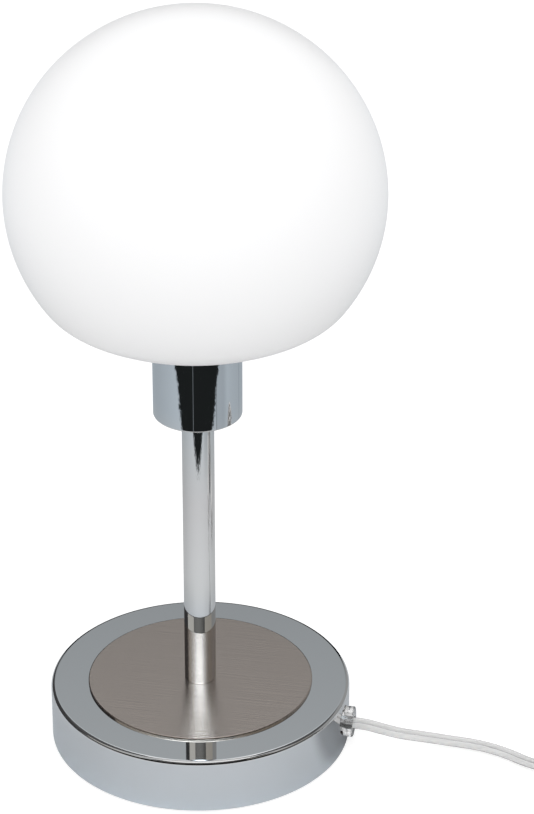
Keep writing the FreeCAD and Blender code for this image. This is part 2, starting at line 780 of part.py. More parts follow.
def filament_foot(side):
    """Support wire out of the stem's end to the foot of one filament."""
    foot_level = stem_top + 0.6
    return routed_tube("filament_foot", [(side, 0, stem_top - 1.0), (side, 0, foot_level),
                                         (side * (filament_offset + 0.2), 0, foot_level)], filament_wire)


feet = [filament_foot(side) for side in (-1, 1)]
filament_rods = [rod(filament_radius, filament_length, V(side * filament_offset, 0, stem_top))
                 for side in (-1, 1)]
bridge = rod(filament_wire, filament_offset * 2, V(-filament_offset, 0, filament_top - 0.5), along_flex)
filament = bridge.multiFuse(filament_rods + feet)
node["bulb_filament"] = filament.cut(node["bulb_stem"])


# Switch on the flex
def switch_point(x, y, z):
    """A point given from the switch's centre."""
    return V(switch_x + x, switch_y + y, z)


def switch_block(x0, x1, y0, y1, z0, z1):
    return block(switch_x + x0, switch_x + x1, switch_y + y0, switch_y + y1, z0, z1)


across = V(0, 1, 0)
up = V(0, 0, 1)
parting = switch_base_height
cover_top = parting + switch_cover_height
inside_length = switch_length - 2 * switch_wall
inside_width = switch_width - 2 * switch_wall
inside_corner = switch_corner - switch_wall
flex_holes = rod(flex_radius + thread_clearance, switch_length, switch_point(-switch_length / 2, 0, parting),
                 along_flex)
grip_half_width = grip_screw_offset + grip_margin


def grip_block(x, bottom, top):
    return switch_block(x - grip_size / 2, x + grip_size / 2, -grip_half_width, grip_half_width, bottom, top)


case_screw_places = [(-case_screw_x, case_screw_y), (case_screw_x, -case_screw_y)]

base = slab(switch_length, switch_width, switch_corner, 0, parting, switch_x, switch_y)
base = base.makeFillet(switch_base_edge, [edge for edge in base.Edges if edge.BoundBox.ZMax < 0.01])
base = base.cut(slab(inside_length, inside_width, inside_corner, switch_wall, parting, switch_x, switch_y))
for x, y in case_screw_places:
    base = base.fuse(rod(case_post_radius, parting - switch_wall, switch_point(x, y, switch_wall)))
for side in (-1, 1):
    base = base.fuse(grip_block(side * grip_place, switch_wall, parting))
base = base.cut(flex_holes)
case_hole = case_screw_radius + screw_clearance
case_sink = case_head + screw_clearance
for x, y in case_screw_places:
    base = base.cut(rod(case_hole, parting, switch_point(x, y, 0)))
    base = base.cut(Part.makeCone(case_sink, case_hole, case_head_height, switch_point(x, y, 0)))
grip_hole = grip_screw_radius + screw_clearance
grip_hole_depth = grip_screw_depth + loose_gap
grip_screw_places = [(x, y) for x in (-grip_place, grip_place)
                     for y in (-grip_screw_offset, grip_screw_offset)]
for x, y in grip_screw_places:
    base = base.cut(rod(grip_hole, grip_hole_depth, switch_point(x, y, parting - grip_hole_depth)))
node["switch_base"] = base.removeSplitter()

window_length = 2 * (rocker_radius + rocker_gap)
window_width = rocker_width + 2 * rocker_gap
roof = cover_top - switch_wall
cover = slab(switch_length, switch_width, switch_corner, parting, switch_cover_height, switch_x, switch_y)
cover = cover.makeFillet(switch_edge, [edge for edge in cover.Edges if edge.BoundBox.ZMin > cover_top - 0.01])
cover = cover.cut(slab(inside_length, inside_width, inside_corner, parting, roof - parting,
                       switch_x, switch_y))
cheek_inside = window_width / 2
cheek_outside = rocker_pin_length / 2
cheek_bottom = rocker_pivot_height - rocker_cheek_drop
half_cheek = rocker_cheek_length / 2
for side in (-1, 1):
    y0, y1 = sorted((side * cheek_inside, side * cheek_outside))
    cover = cover.fuse(switch_block(-half_cheek, half_cheek, y0, y1, cheek_bottom, roof))
for x, y in case_screw_places:
    cover = cover.fuse(rod(case_post_radius, roof - parting, switch_point(x, y, parting)))
cover = cover.cut(slab(window_length, window_width, 1.0, parting, switch_cover_height, switch_x, switch_y))
cover = cover.cut(flex_holes)
case_screw_end = cover_top - case_screw_cover
for x, y in case_screw_places:
    cover = cover.cut(rod(case_hole, case_screw_end - parting, switch_point(x, y, parting)))
pin_start = switch_point(0, -rocker_pin_length / 2, rocker_pivot_height)
cover = cover.cut(rod(rocker_pin_radius + shaft_clearance / 2, rocker_pin_length, pin_start, across))
node["switch_cover"] = cover.removeSplitter()
node["rocker_pin"] = rod(rocker_pin_radius, rocker_pin_length, pin_start, across)

case_screws = []
for x, y in case_screw_places:
    head = Part.makeCone(case_head, case_screw_radius, case_head_height, switch_point(x, y, 0))
    shank_length = case_screw_end - case_head_height - loose_gap
    case_screws.append(head.fuse(rod(case_screw_radius, shank_length, switch_point(x, y, case_head_height))))
node["switch_case_screws"] = Part.makeCompound(case_screws)

pivot = switch_point(0, 0, rocker_pivot_height)


def tilted(shape, angle):
    """Copy tipped about the rocker's pivot, with the +X end lowered by a positive angle."""
    copy = shape.copy()
    copy.rotate(pivot, across, angle)
    return copy


half_rocker = rocker_width / 2
rocker_end = switch_point(0, -half_rocker, rocker_pivot_height)
rocker = rod(rocker_radius, rocker_width, rocker_end, across)
for side in (-1, 1):
    end = side * rocker_radius
    roof_line = [(0, rocker_top), (end, rocker_top + rocker_rise), (end, rocker_radius), (0, rocker_radius)]
    corners = [rocker_end + V(x, 0, z) for x, z in roof_line + roof_line[:1]]
    rocker = rocker.cut(Part.Face(Part.makePolygon(corners)).extrude(across * rocker_width))
skirt_bottom = rocker_pivot_height - rocker_skirt
rocker = rocker.cut(switch_block(-rocker_radius, rocker_radius, -half_rocker, half_rocker, 0, skirt_bottom))
stem_half = plunger_radius + plunger_sleeve
stem_end = rocker_pivot_height - rocker_stem
rocker = rocker.fuse(switch_block(-stem_half, stem_half, -stem_half, stem_half, stem_end, skirt_bottom))
rocker_hole = rocker_pin_radius + shaft_clearance
rocker = rocker.removeSplitter().cut(rod(rocker_hole, rocker_width, rocker_end, across))
well_top = stem_end + rocker_well
rocker = rocker.cut(rod(plunger_radius + screw_clearance, rocker_well, switch_point(0, 0, stem_end)))
node["switch_rocker"] = tilted(rocker, -rocker_tilt)

plunger_tip = rocker_pivot_height - plunger_reach
plunger = rod(plunger_radius, plunger_length, switch_point(0, 0, plunger_tip))
plunger = plunger.makeFillet(plunger_radius * 0.8, [edge for edge in plunger.Edges
                                                    if edge.BoundBox.ZMax < plunger_tip + 0.01])
node["switch_plunger"] = tilted(plunger, -rocker_tilt)
spring_bottom = plunger_tip + plunger_length + spring_wire
spring_height = well_top - spring_bottom - spring_wire
spring_radius = plunger_radius - spring_wire
helix = Part.makeHelix(spring_height / spring_turns, spring_height, spring_radius)
helix.translate(switch_point(0, 0, spring_bottom))
helix_start = switch_point(spring_radius, 0, spring_bottom)
spring_section = Part.Wire(Part.Circle(helix_start, across, spring_wire / 2).toShape())
spring = Part.Wire(helix.Edges).makePipeShell([spring_section], True, True)
node["plunger_spring"] = tilted(spring, -rocker_tilt)

# Contact blade on its fulcrum, tipped the other way from the rocker
blade_centre = switch_point(0, 0, blade_pivot_height)
half_blade = blade_length / 2
half_strip = blade_width / 2
blade = switch_block(-half_blade, half_blade, -half_strip, half_strip, blade_pivot_height,
                     blade_pivot_height + blade_thickness)
blade = blade.fuse(rod(contact_pad_radius, contact_pad_height,
                       switch_point(-contact_pad_place, 0, blade_pivot_height - contact_pad_height)))
fulcrum_end = switch_point(0, -half_strip, blade_pivot_height)
blade = blade.cut(rod(fulcrum_radius + shaft_clearance, blade_width, fulcrum_end, across))
blade.rotate(blade_centre, across, blade_tilt)
node["contact_blade"] = blade

strip_top = switch_wall + terminal_strip
half_block = terminal_block / 2
half_block_width = terminal_block_width / 2
block_top = strip_top + terminal_block_height
core_level = strip_top + terminal_core_height
core_side = -lead_spacing / 2


def screw_block(x):
    """Brass block on its strip, with a hole for the core along X and a screw hole from above."""
    body = switch_block(x - half_block, x + half_block, core_side - half_block_width,
                        core_side + half_block_width, switch_wall, block_top)
    body = body.cut(rod(lead_radius + screw_clearance, terminal_block,
                        switch_point(x - half_block, core_side, core_level), along_flex))
    return body.cut(rod(screw_shank + screw_clearance, block_top - core_level,
                        switch_point(x, core_side, core_level)))


neck_level = blade_pivot_height - fulcrum_neck
fulcrum_profile = [(-fulcrum_half, strip_top), (fulcrum_half, strip_top), (fulcrum_radius, neck_level),
                   (-fulcrum_radius, neck_level)]
fulcrum_corners = [switch_point(x, -half_strip, z) for x, z in fulcrum_profile + fulcrum_profile[:1]]
fulcrum = Part.Face(Part.makePolygon(fulcrum_corners)).extrude(across * blade_width)
fulcrum = fulcrum.fuse(rod(fulcrum_radius, blade_width, fulcrum_end, across))
live_in = switch_block(-fulcrum_half, terminal_block_place, -half_strip, half_strip, switch_wall, strip_top)
live_in = live_in.fuse(fulcrum).fuse(screw_block(terminal_block_place))
node["live_in_terminal"] = live_in.removeSplitter()

closed = math.radians(blade_tilt)
pad_drop = contact_pad_place * math.sin(closed)
pad_reach = contact_pad_height * math.cos(closed) + contact_pad_radius * math.sin(closed)
fixed_pad_top = blade_pivot_height - pad_drop - pad_reach - seat_gap
fixed_pad = rod(contact_pad_radius + fixed_pad_margin, fixed_pad_top - strip_top,
                switch_point(-contact_pad_place, 0, strip_top))
strip_end = contact_pad_radius + 2 * fixed_pad_margin - contact_pad_place
live_out = switch_block(-terminal_block_place, strip_end, -half_strip, half_strip, switch_wall, strip_top)
live_out = live_out.fuse(screw_block(-terminal_block_place)).fuse(fixed_pad)
node["live_out_terminal"] = live_out.removeSplitter()

neutral_level = switch_wall + neutral_radius
link_length = 2 * neutral_half_length
link_start = switch_point(-neutral_half_length, neutral_offset, neutral_level)
link = rod(neutral_radius, link_length, link_start, along_flex)
link = link.cut(rod(lead_radius + screw_clearance, link_length, link_start, along_flex))
link_screw_hole = link_screw_shank + screw_clearance
link_screw_x = neutral_half_length - neutral_screw_inset
link_screw_places = [(-link_screw_x, neutral_offset), (link_screw_x, neutral_offset)]
for x, y in link_screw_places:
    link = link.cut(rod(link_screw_hole, neutral_radius, switch_point(x, y, neutral_level)))
node["neutral_link"] = link

switch_screws = []
for x in (-terminal_block_place, terminal_block_place):
    head_top = switch_point(x, core_side, block_top + screw_head_height)
    reach = block_top - core_level - core_radius
    switch_screws.append(pan_screw(screw_shank, reach, screw_head, screw_head_height, head_top, -up))
for x, y in link_screw_places:
    head_top = switch_point(x, y, neutral_level + neutral_radius + link_head_height)
    reach = neutral_radius - lead_radius - seat_gap
    switch_screws.append(pan_screw(link_screw_shank, reach, link_head, link_head_height, head_top, -up))
node["switch_terminal_screws"] = Part.makeCompound(switch_screws)

core_start = switch_length / 2 - switch_flex_inside
block_face = terminal_block_place + half_block
switch_leads = []
for side in (-1, 1):
    live_route = [(core_start, core_side, parting), (core_start - 1.2, core_side, parting),
                  (block_face + 1.1, core_side, core_level), (block_face - 2.0, core_side, core_level)]
    neutral_route = [(core_start, -core_side, parting), (core_start - 2.0, -core_side, parting),
                     (14.6, 4.4, 5.9), (10.2, 5.2, 4.3),
                     (neutral_half_length + 1.0, neutral_offset, neutral_level),
                     (neutral_half_length - 2.0, neutral_offset, neutral_level)]
    for route in (live_route, neutral_route):
        places = [tuple(switch_point(side * x, y, z)) for x, y, z in route]
        switch_leads.append(routed_tube("switch_lead", places, core_radius))
node["switch_leads"] = Part.makeCompound(switch_leads)

grip_height = flex_radius + grip_crown
grips = Part.makeCompound([grip_block(side * grip_place, parting, parting + grip_height) for side in (-1, 1)])
grips = grips.cut(flex_holes)
grip_screws = []
for x, y in grip_screw_places:
    grips = grips.cut(rod(grip_hole, grip_height, switch_point(x, y, parting)))
    head_top = switch_point(x, y, parting + grip_height + grip_head_height)
    grip_screws.append(pan_screw(grip_screw_radius, grip_height + grip_screw_depth, grip_head_radius,
                                 grip_head_height, head_top, -up))
node["cord_grips"] = grips
node["grip_screws"] = Part.makeCompound(grip_screws)

# Flex from the bush to the switch: down to the surface, then in a slow curve
switch_end = switch_length / 2 - switch_flex_inside
near_route = [
    (gland_face, 0, flex_height), (67.3, 0, flex_height), (73.5, -0.5, 7.7), (82, 0, 5.8), (91.5, 1.4, 4.5),
    (102, 3.3, 2.5), (113, 2.5, 2.5), (124, -0.9, 2.5), (134.5, -6.9, 2.5), (147.5, -14.1, 5.5),
    (164.5, -20.5, 7.5), (switch_x - switch_end, switch_y, parting)]
node["flex_near"] = routed_tube("flex_near", near_route, flex_radius)

# Coil: half turns that climb where the spiral reverses, between layers that wind in and out
coil_bottom = tie_thickness + loose_gap + flex_radius
layer_turns = (coil_turns - 0.5 * (coil_layers - 1)) / coil_layers
coil_outer = coil_middle_radius + coil_pitch * layer_turns / 2
coil_inner = coil_middle_radius - coil_pitch * layer_turns / 2


def coil_station(turns):
    """Radius and height of the coil's centre line after some turns, with their rates of change per turn."""
    layer, rest = divmod(turns, layer_turns + 0.5)
    layer = min(int(layer), coil_layers - 1)
    rest = turns - layer * (layer_turns + 0.5)
    inward = -1 if layer % 2 == 0 else 1
    start = coil_outer if inward < 0 else coil_inner
    height = coil_bottom + layer * coil_layer_rise
    if rest <= layer_turns + 1e-9:
        return start + inward * coil_pitch * rest, height, inward * coil_pitch, 0
    climb = (rest - layer_turns) / 0.5
    turning = start + inward * coil_pitch * (layer_turns + 0.5 * (climb - climb ** 2))
    slope = inward * coil_pitch * (1 - 2 * climb)
    rise = coil_layer_rise * climb ** 2 * (3 - 2 * climb)
    return turning, height + rise, slope, coil_layer_rise * 6 * climb * (1 - climb) / 0.5


def coil_point(turns):
    """Point and unit tangent of the coil's centre line."""
    radius, height, slope, climb = coil_station(turns)
    angle = 2 * math.pi * turns
    outwards = V(math.cos(angle), math.sin(angle), 0)
    onwards = V(-math.sin(angle), math.cos(angle), 0)
    tangent = outwards * slope + onwards * (2 * math.pi * radius) + V(0, 0, climb)
    return V(coil_x, coil_y, height) + outwards * radius, tangent.normalize()


def tangent_arc(start, tangent, end):
    """Arc that leaves start along tangent and ends at end."""
    chord = end - start
    length = chord.Length
    along = V(chord).normalize()
    sideways = tangent - along * tangent.dot(along)
    if sideways.Length < 1e-7:
        return Part.LineSegment(start, end).toShape()
    half = tangent.getAngle(along) / 2
    middle = start + chord * 0.5 + sideways.normalize() * (length / 2 * math.tan(half))
    return Part.Arc(start, middle, end).toShape()


def biarc(start, start_tangent, end, end_tangent):
    """Two arcs that meet with one tangent, through both ends with theirs."""
    chord = end - start
    both = start_tangent + end_tangent
    unlike = 2 * (1 - start_tangent.dot(end_tangent))
    reach = (-chord.dot(both) + math.sqrt(chord.dot(both) ** 2 + unlike * chord.dot(chord))) / unlike
    first = start + start_tangent * reach
    last = end - end_tangent * reach
    joint = (first + last) * 0.5
    return [tangent_arc(start, start_tangent, joint), tangent_arc(joint, (last - first).normalize(), end)]


stations = [0]
for layer in range(coil_layers):
    steps = round(4 * layer_turns)
    for k in range(steps):
        stations.append(stations[-1] + layer_turns / steps)
    if layer < coil_layers - 1:
        stations.append(stations[-1] + 0.25)
        stations.append(stations[-1] + 0.25)
coil_edges = []
for before, after in zip(stations, stations[1:]):
    coil_edges += biarc(*coil_point(before), *coil_point(after))
coil_start, coil_start_tangent = coil_point(0)
coil_end, coil_end_tangent = coil_point(coil_turns)
coil_entry = coil_start - coil_start_tangent * 2 * flex_radius
coil_leave = coil_end + coil_end_tangent * 2 * flex_radius
coil_edges.insert(0, Part.LineSegment(coil_entry, coil_start).toShape())
coil_edges.append(Part.LineSegment(coil_end, coil_leave).toShape())
node["flex_coil"] = swept_tube("flex_coil", coil_edges, flex_radius, coil_entry, coil_start_tangent)


def least_gap(edges, diameter):
    """Smallest distance between turns, surface to surface, from points along the centre line."""
    places = []
    travelled = 0
    count = 6
    for edge in edges:
        span = edge.LastParameter - edge.FirstParameter
        for k in range(count):
            place = edge.valueAt(edge.FirstParameter + span * k / count)
            places.append((travelled + edge.Length * k / count, place))
        travelled += edge.Length
    gaps = [here.distanceToPoint(there) for i, (start, here) in enumerate(places)
            for end, there in places[i + 1:] if end - start > 5 * diameter]
    return min(gaps) - diameter


print(f"flex_coil: least gap to itself {least_gap(coil_edges, 2 * flex_radius):.2f}, "
      f"radii {coil_inner:.1f} to {coil_outer:.1f}")

# Strap round the coil
tie_inside = coil_inner - coil_pitch / 8 - flex_radius - loose_gap
tie_outside = coil_outer + coil_pitch / 8 + flex_radius + loose_gap
tie_bottom = coil_bottom - flex_radius - loose_gap
tie_top = coil_bottom + (coil_layers - 1) * coil_layer_rise + flex_radius + loose_gap


def tie_loop(grow, corner):
    corners = [(tie_inside - grow, tie_bottom - grow), (tie_outside + grow, tie_bottom - grow),
               (tie_outside + grow, tie_top + grow), (tie_inside - grow, tie_top + grow)]
    face = Part.Face(rounded_wire([(r, z, corner) for r, z in corners], upright))
    return face.extrude(across * tie_width)


tie_tab = block(tie_inside + tie_corner, tie_outside - tie_corner, 0, tie_width, tie_top + tie_thickness,
                tie_top + 2 * tie_thickness)
tie = tie_loop(tie_thickness, tie_corner + tie_thickness).cut(tie_loop(0, tie_corner)).fuse(tie_tab)
tie = tie.removeSplitter()
tie.translate(V(0, -tie_width / 2, 0))
tie.rotate(V(0, 0, 0), up, tie_angle)
tie.translate(V(coil_x, coil_y, 0))
node["coil_tie"] = tie

# Flex from the switch round to the coil, and from its top turn down to the plug
mid_route = [
    (switch_x + switch_end, switch_y, parting), (238.5, -20.5, 7.5), (252.3, -12.6, 6.2), (260.4, 0.9, 4.6),
    tuple(coil_entry - coil_start_tangent * 12.0), tuple(coil_entry)]
node["flex_mid"] = routed_tube("flex_mid", mid_route, flex_radius)

plug_level = plug_thickness / 2
end_route = [
    tuple(coil_leave), tuple(coil_leave + coil_end_tangent * 10.5), (233.6, 70.7, 17.1), (223.2, 73.3, 11.7),
    (212.0, 73.5, plug_level), (200.6, 73.5, plug_level)]
node["flex_end"] = routed_tube("flex_end", end_route, flex_radius)

# Plug: a flat body that narrows to a grooved bend relief
plug_tail = V(*end_route[-1])
pin_face = plug_tail.x - relief_length - plug_length


def plug_section(x, width, thickness):
    half_y, half_z = width / 2, thickness / 2
    centre = V(x, plug_tail.y, plug_tail.z)
    corners = [(half_y, half_z), (-half_y, half_z), (-half_y, -half_z), (half_y, -half_z)]
    return rounded_wire([(y, z, plug_corner) for y, z in corners], lambda p: centre + V(0, p.x, p.y))


waist_x = pin_face + plug_length * plug_waist
plug_end = pin_face + plug_length
waist = plug_section(waist_x, plug_waist_width, plug_thickness)
grip_part = Part.makeLoft([plug_section(pin_face, plug_width, plug_thickness), waist], True, True)
neck_part = Part.makeLoft([waist, plug_section(plug_end, plug_tail_width, plug_tail_thickness)], True, True)
relief = Part.makeCone(relief_start_radius, relief_end_radius, relief_length,
                       V(plug_end, plug_tail.y, plug_tail.z), along_flex)
groove_step = relief_length / (relief_grooves + 1)
for k in range(relief_grooves):
    groove = V(plug_end + groove_step * (k + 0.7), plug_tail.y, plug_tail.z)
    ring = rod(relief_start_radius, relief_groove_width, groove, along_flex)
    core = rod(relief_end_radius - relief_groove_depth, relief_groove_width, groove, along_flex)
    relief = relief.cut(ring.cut(core))
plug = grip_part.fuse([neck_part, relief]).removeSplitter()
pins = []
sleeves = []
for side in (-1, 1):
    face = V(pin_face, plug_tail.y + side * pin_spacing / 2, plug_tail.z)
    tip = face - along_flex * pin_length
    sleeve_start = face - along_flex * sleeve_length
    pin = rod(pin_radius, pin_length - sleeve_length, tip, along_flex)
    tip_edge = [edge for edge in pin.Edges if edge.BoundBox.XMax < tip.x + 0.01]
    pin = pin.makeFillet(pin_tip_round, tip_edge)
    sleeve_core = rod(pin_radius - sleeve_wall, sleeve_length, sleeve_start, along_flex)
    root = rod(pin_root_radius, pin_root, face, along_flex)
    pins.append(pin.fuse([sleeve_core, root]))
    sleeves.append(rod(pin_radius, sleeve_length, sleeve_start, along_flex).cut(sleeve_core))
    plug = plug.cut(root)
node["plug_body"] = plug
node["plug_pins"] = Part.makeCompound(pins)
node["pin_sleeves"] = Part.makeCompound(sleeves)

os.makedirs("parts", exist_ok=True)
for name, shape in node.items():
    if not shape.isValid():
        print(f"{name} is not valid")
    shape.exportStep(f"parts/{name}.step")
print(f"{len(node)} nodes")
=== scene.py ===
import math

import bmesh
import bpy
import numpy as np
from mathutils import Matrix, Vector


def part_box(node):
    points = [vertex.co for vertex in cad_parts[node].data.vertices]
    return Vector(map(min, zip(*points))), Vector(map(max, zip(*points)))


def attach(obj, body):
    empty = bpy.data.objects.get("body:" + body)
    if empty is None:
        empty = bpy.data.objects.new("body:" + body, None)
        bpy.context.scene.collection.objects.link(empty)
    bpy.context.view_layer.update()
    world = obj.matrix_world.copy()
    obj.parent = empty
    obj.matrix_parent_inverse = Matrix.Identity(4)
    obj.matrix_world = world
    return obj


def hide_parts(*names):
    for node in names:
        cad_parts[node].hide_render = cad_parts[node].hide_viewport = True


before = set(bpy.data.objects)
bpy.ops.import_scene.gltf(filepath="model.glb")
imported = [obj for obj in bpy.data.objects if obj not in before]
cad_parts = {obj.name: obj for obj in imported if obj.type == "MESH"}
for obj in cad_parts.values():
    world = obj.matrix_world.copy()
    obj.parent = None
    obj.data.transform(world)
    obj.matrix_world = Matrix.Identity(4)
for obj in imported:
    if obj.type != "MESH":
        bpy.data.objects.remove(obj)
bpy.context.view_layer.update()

bl_info = {
    "name": "Glass globe table lamp",
    "version": (1, 0, 0),
    "blender": (4, 5, 0),
    "location": "View3D > Sidebar > Lamp",
    "description": "Finishes and soft pieces of a table lamp with an opal globe on a chrome stem",
    "category": "Object",
}

MM = 0.001

# Hole in each turned piece that the threaded tube passes through
tube_bore = 5.1 * MM

# Vertices nearer than this are one, and edges sharper than this stay sharp
merge_distance = 1e-7
sharp_angle = math.radians(32)

# Places the photograph fixes
camera_place = (0.20192, -0.98947, 0.67562)
camera_target = (0.02297, 0.0227, 0.13664)
camera_roll = math.radians(0.12)
camera_lens = 131.39
sensor_side = 36.0
view_azimuth = math.radians(10)

# Route of the flex, in metres: from the bush to the switch, on to the coil, and from it to the plug
flex_near_route = [
    (0.0628, 0, 0.0087), (0.0673, 0, 0.0087), (0.0735, -0.0005, 0.0077), (0.082, 0, 0.0058),
    (0.0915, 0.0014, 0.0045), (0.102, 0.0033, 0.0025), (0.113, 0.0025, 0.0025), (0.124, -0.0009, 0.0025),
    (0.1345, -0.0069, 0.0025), (0.1475, -0.0141, 0.0055), (0.1645, -0.0205, 0.0075),
    (0.1814, -0.0205, 0.0075)]
flex_mid_route = [
    (0.2226, -0.0205, 0.0075), (0.2385, -0.0205, 0.0075), (0.2523, -0.0126, 0.0062), (0.2604, 0.0009, 0.0046)]
flex_end_route = [(0.2336, 0.0707, 0.0171), (0.2232, 0.0733, 0.0117), (0.2120, 0.0735, 0.00685),
                  (0.2006, 0.0735, 0.00685)]

# Coil of the flex that is put away
coil_centre = (0.2325, 0.0320)
coil_turns = 9.125
coil_middle_radius = 0.0255
coil_layers = 4
coil_pitch = 0.0057
coil_rise = 0.0056
coil_bottom = 0.0036
coil_points_per_turn = 24

# Turns in which the coil goes from one layer to the next, and the straight reaches before and after the coil
layer_change = 0.5
reaches_before = (0.017, 0.005)
reaches_after = (0.005, 0.0155)

# Length of the flex over which its strands make one ridge, and its turn in degrees where it leaves the bush
twist_pitch = 0.0011
exit_tilt = 20

# The floor as the metal mirrors it. Distances are metres from the stem. A side and a front are the sine and
# cosine of the way there as the camera sees it. A pair tells where a change begins and where it is complete.
dark_studio = (0.013, 0.015, 0.0155)
floor_grey = (0.66, 0.66, 0.66)
floor_matt = (0.42, 0.42, 0.42)
floor_tints = [
    (0.095, (0.634, 0.67, 0.708)), (0.115, (0.71, 0.73, 0.742)), (0.14, (0.718, 0.732, 0.744)),
    (0.195, (0.66, 0.665, 0.68)), (0.245, (0.605, 0.64, 0.665)), (0.30, (0.51, 0.575, 0.635)),
    (0.42, (0.51, 0.575, 0.635)), (0.55, (0.78, 0.87, 0.95))]
floor_level, floor_front_gain, floor_side_gain = 0.90, 0.155, 0.02
edge_bow, edge_blur = 0.165, (-0.0015, 0.0015)
edge_step, edge_step_depth = (0.335, 0.365), 0.03
tear_scale, tear_spread, tear_depth = 520.0, 0.02, 0.08
stripes_from = 0.27
slit_side, slit_half, slit_dark = -0.170, 0.011, 0.3
line_side, line_half, line_dark = 0.76, 0.009, 0.4
# Painted shadow of the flex on the floor, as the metal mirrors it
under_flex_y, painted_flex_shadow_dark = -0.004, 0.38
under_flex_across, under_flex_out, under_flex_end = (0.022, 0.008), (0.052, 0.064), (0.12, 0.095)
right_side, right_front, right_away, right_dark = (0.55, 0.8), (0.1, 0.4), (0.2, 0.27), 0.22
# Painted shade on the floor close round the base, except in front
near_away, near_front, painted_base_shade_dark = (0.13, 0.11), (0.6, 1.0), 0.05

# The room as the metal mirrors it. A height is the sine of the way up.
behind_low, behind_high, behind_change = (0.426, 0.455, 0.474), (0.80, 0.81, 0.83), (0.66, 0.9)
behind_level, behind_middle, behind_height_gain, behind_side_gain = 0.97, 0.54, 4.0, 0.1
behind_front = -0.94
low_left, low_right, low_from, low_width = (0.78, 0.765, 0.715), (0.52, 0.49, 0.44), -0.8, 1.8
low_end, low_top = (0.46, 0.53), (0.585, 0.61)
ground_level, ground_side, ground_gain = 0.02, (0.75, 0.98), 0.12
panel_left, panel_right, panel_ahead = (-1.15, -0.25), (0.95, 0.1), (-0.1, 0.1)
panel_tint, panel_least = (0.84, 0.98, 1.08), 0.4
plain_left, plain_right, plain_foot = (-0.70, -0.58), (0.90, 0.84), 0.84
plain_dark, plain_white, plain_sides = (0.02, 0.02, 0.021), (1.5, 1.5, 1.5), (0.54, 0.55, 0.56)
ceiling = (0.88, 0.95)
figure_left, figure_right, figure_top, figure_foot = -0.69, 0.60, (0.60, 0.58), (0.45, 0.53)
figure_tint, figure_level, figure_middle, figure_falloff = (1, 1, 0.97), 0.29, -0.22, 0.3
wall_left, wall_right, wall_high = (0.06, 0.06, 0.062), (0.38, 0.385, 0.385), (0.10, 0.10, 0.103)
wall_change, wall_front, wall_front_gain, wall_front_change = (0.58, 0.64), 0.10, 0.2, (0.64, 0.58)
even_light_gain = 0.18
straight_up_guard = 0.0001


def piece_box(name):
    """Lowest and highest corner of a node, as two arrays."""
    low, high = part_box(name)
    return np.array(low), np.array(high)


class LampMetal(bpy.types.PropertyGroup):
    chrome_colour: bpy.props.FloatVectorProperty(
        name="Chrome colour", description="Tint of the polished plating", subtype="COLOR", size=3,
        default=(0.68, 0.68, 0.68), min=0, max=1)
    chrome_roughness: bpy.props.FloatProperty(
        name="Chrome roughness", description="How far the plating blurs what it mirrors", subtype="FACTOR",
        default=0.03, min=0, max=1)
    satin_colour: bpy.props.FloatVectorProperty(
        name="Satin steel colour", description="Tint of the brushed disc", subtype="COLOR", size=3,
        default=(0.53, 0.452, 0.402), min=0, max=1)
    satin_roughness: bpy.props.FloatProperty(
        name="Satin steel roughness", description="Softness of the brushed disc's shine", subtype="FACTOR",
        default=0.22, min=0, max=1)
    brush_spacing: bpy.props.FloatProperty(
        name="Brush line spacing", description="Distance between the brushed disc's scratches",
        subtype="DISTANCE", unit="LENGTH", default=0.00025, min=0.0001, max=0.005)
    brush_depth: bpy.props.FloatProperty(
        name="Brush line depth", description="Relief of the brushed disc's scratches", subtype="DISTANCE",
        unit="LENGTH", default=0.000045, min=0, max=0.001)


class LampGlass(bpy.types.PropertyGroup):
    opal_colour: bpy.props.FloatVectorProperty(
        name="Opal colour", description="Colour of the globe's white glass", subtype="COLOR", size=3,
        default=(0.93, 0.93, 0.935), min=0, max=1)
    globe_rings: bpy.props.IntProperty(
        name="Globe rings", description="Points along each arc of the globe's profile", default=36, min=8,
        max=200)
    segments: bpy.props.IntProperty(
        name="Segments", description="Points round each turned piece", default=256, min=32, max=512)


class LampFlex(bpy.types.PropertyGroup):
    flex_width: bpy.props.FloatProperty(
        name="Flex width", description="Width across both cores of the twin flex", subtype="DISTANCE",
        unit="LENGTH", default=0.005, min=0.002, max=0.01)
    flex_thickness: bpy.props.FloatProperty(
        name="Flex thickness", description="Thickness of one core with its cover", subtype="DISTANCE",
        unit="LENGTH", default=0.0026, min=0.001, max=0.006)
    strand_radius: bpy.props.FloatProperty(
        name="Strand bundle radius", description="Radius of the metal strands in each core",
        subtype="DISTANCE", unit="LENGTH", default=0.00062, min=0.0002, max=0.002)
    clear_colour: bpy.props.FloatVectorProperty(
        name="Clear plastic colour", description="Tint of the flex's cover and its bush", subtype="COLOR",
        size=3, default=(0.97, 0.97, 0.97), min=0, max=1)


class LampStage(bpy.types.PropertyGroup):
    floor_size: bpy.props.FloatProperty(
        name="Floor size", description="Side of the white floor", subtype="DISTANCE", unit="LENGTH",
        default=8.0, min=1, max=50)
    floor_white: bpy.props.FloatProperty(
        name="Floor glow", description="How much of the floor's white is kept in shadow", subtype="FACTOR",
        default=0.72, min=0, max=1)
    dark_distance: bpy.props.FloatProperty(
        name="Dark front distance", description="Distance in front of the lamp at which the pale floor ends",
        subtype="DISTANCE", unit="LENGTH", default=0.2275, min=0.1, max=2)
    panel_level: bpy.props.FloatProperty(
        name="Front panel level", description="Brightness of the panel above the camera, reflected twice",
        default=9.0, min=0, max=40)
    world_level: bpy.props.FloatProperty(
        name="Room level", description="Brightness of the even light at the height of the eye", default=0.88,
        min=0, max=2)
    key_power: bpy.props.FloatProperty(
        name="Front light power", description="Power of the large soft light near the camera", unit="POWER",
        default=9.0, min=0, max=100)


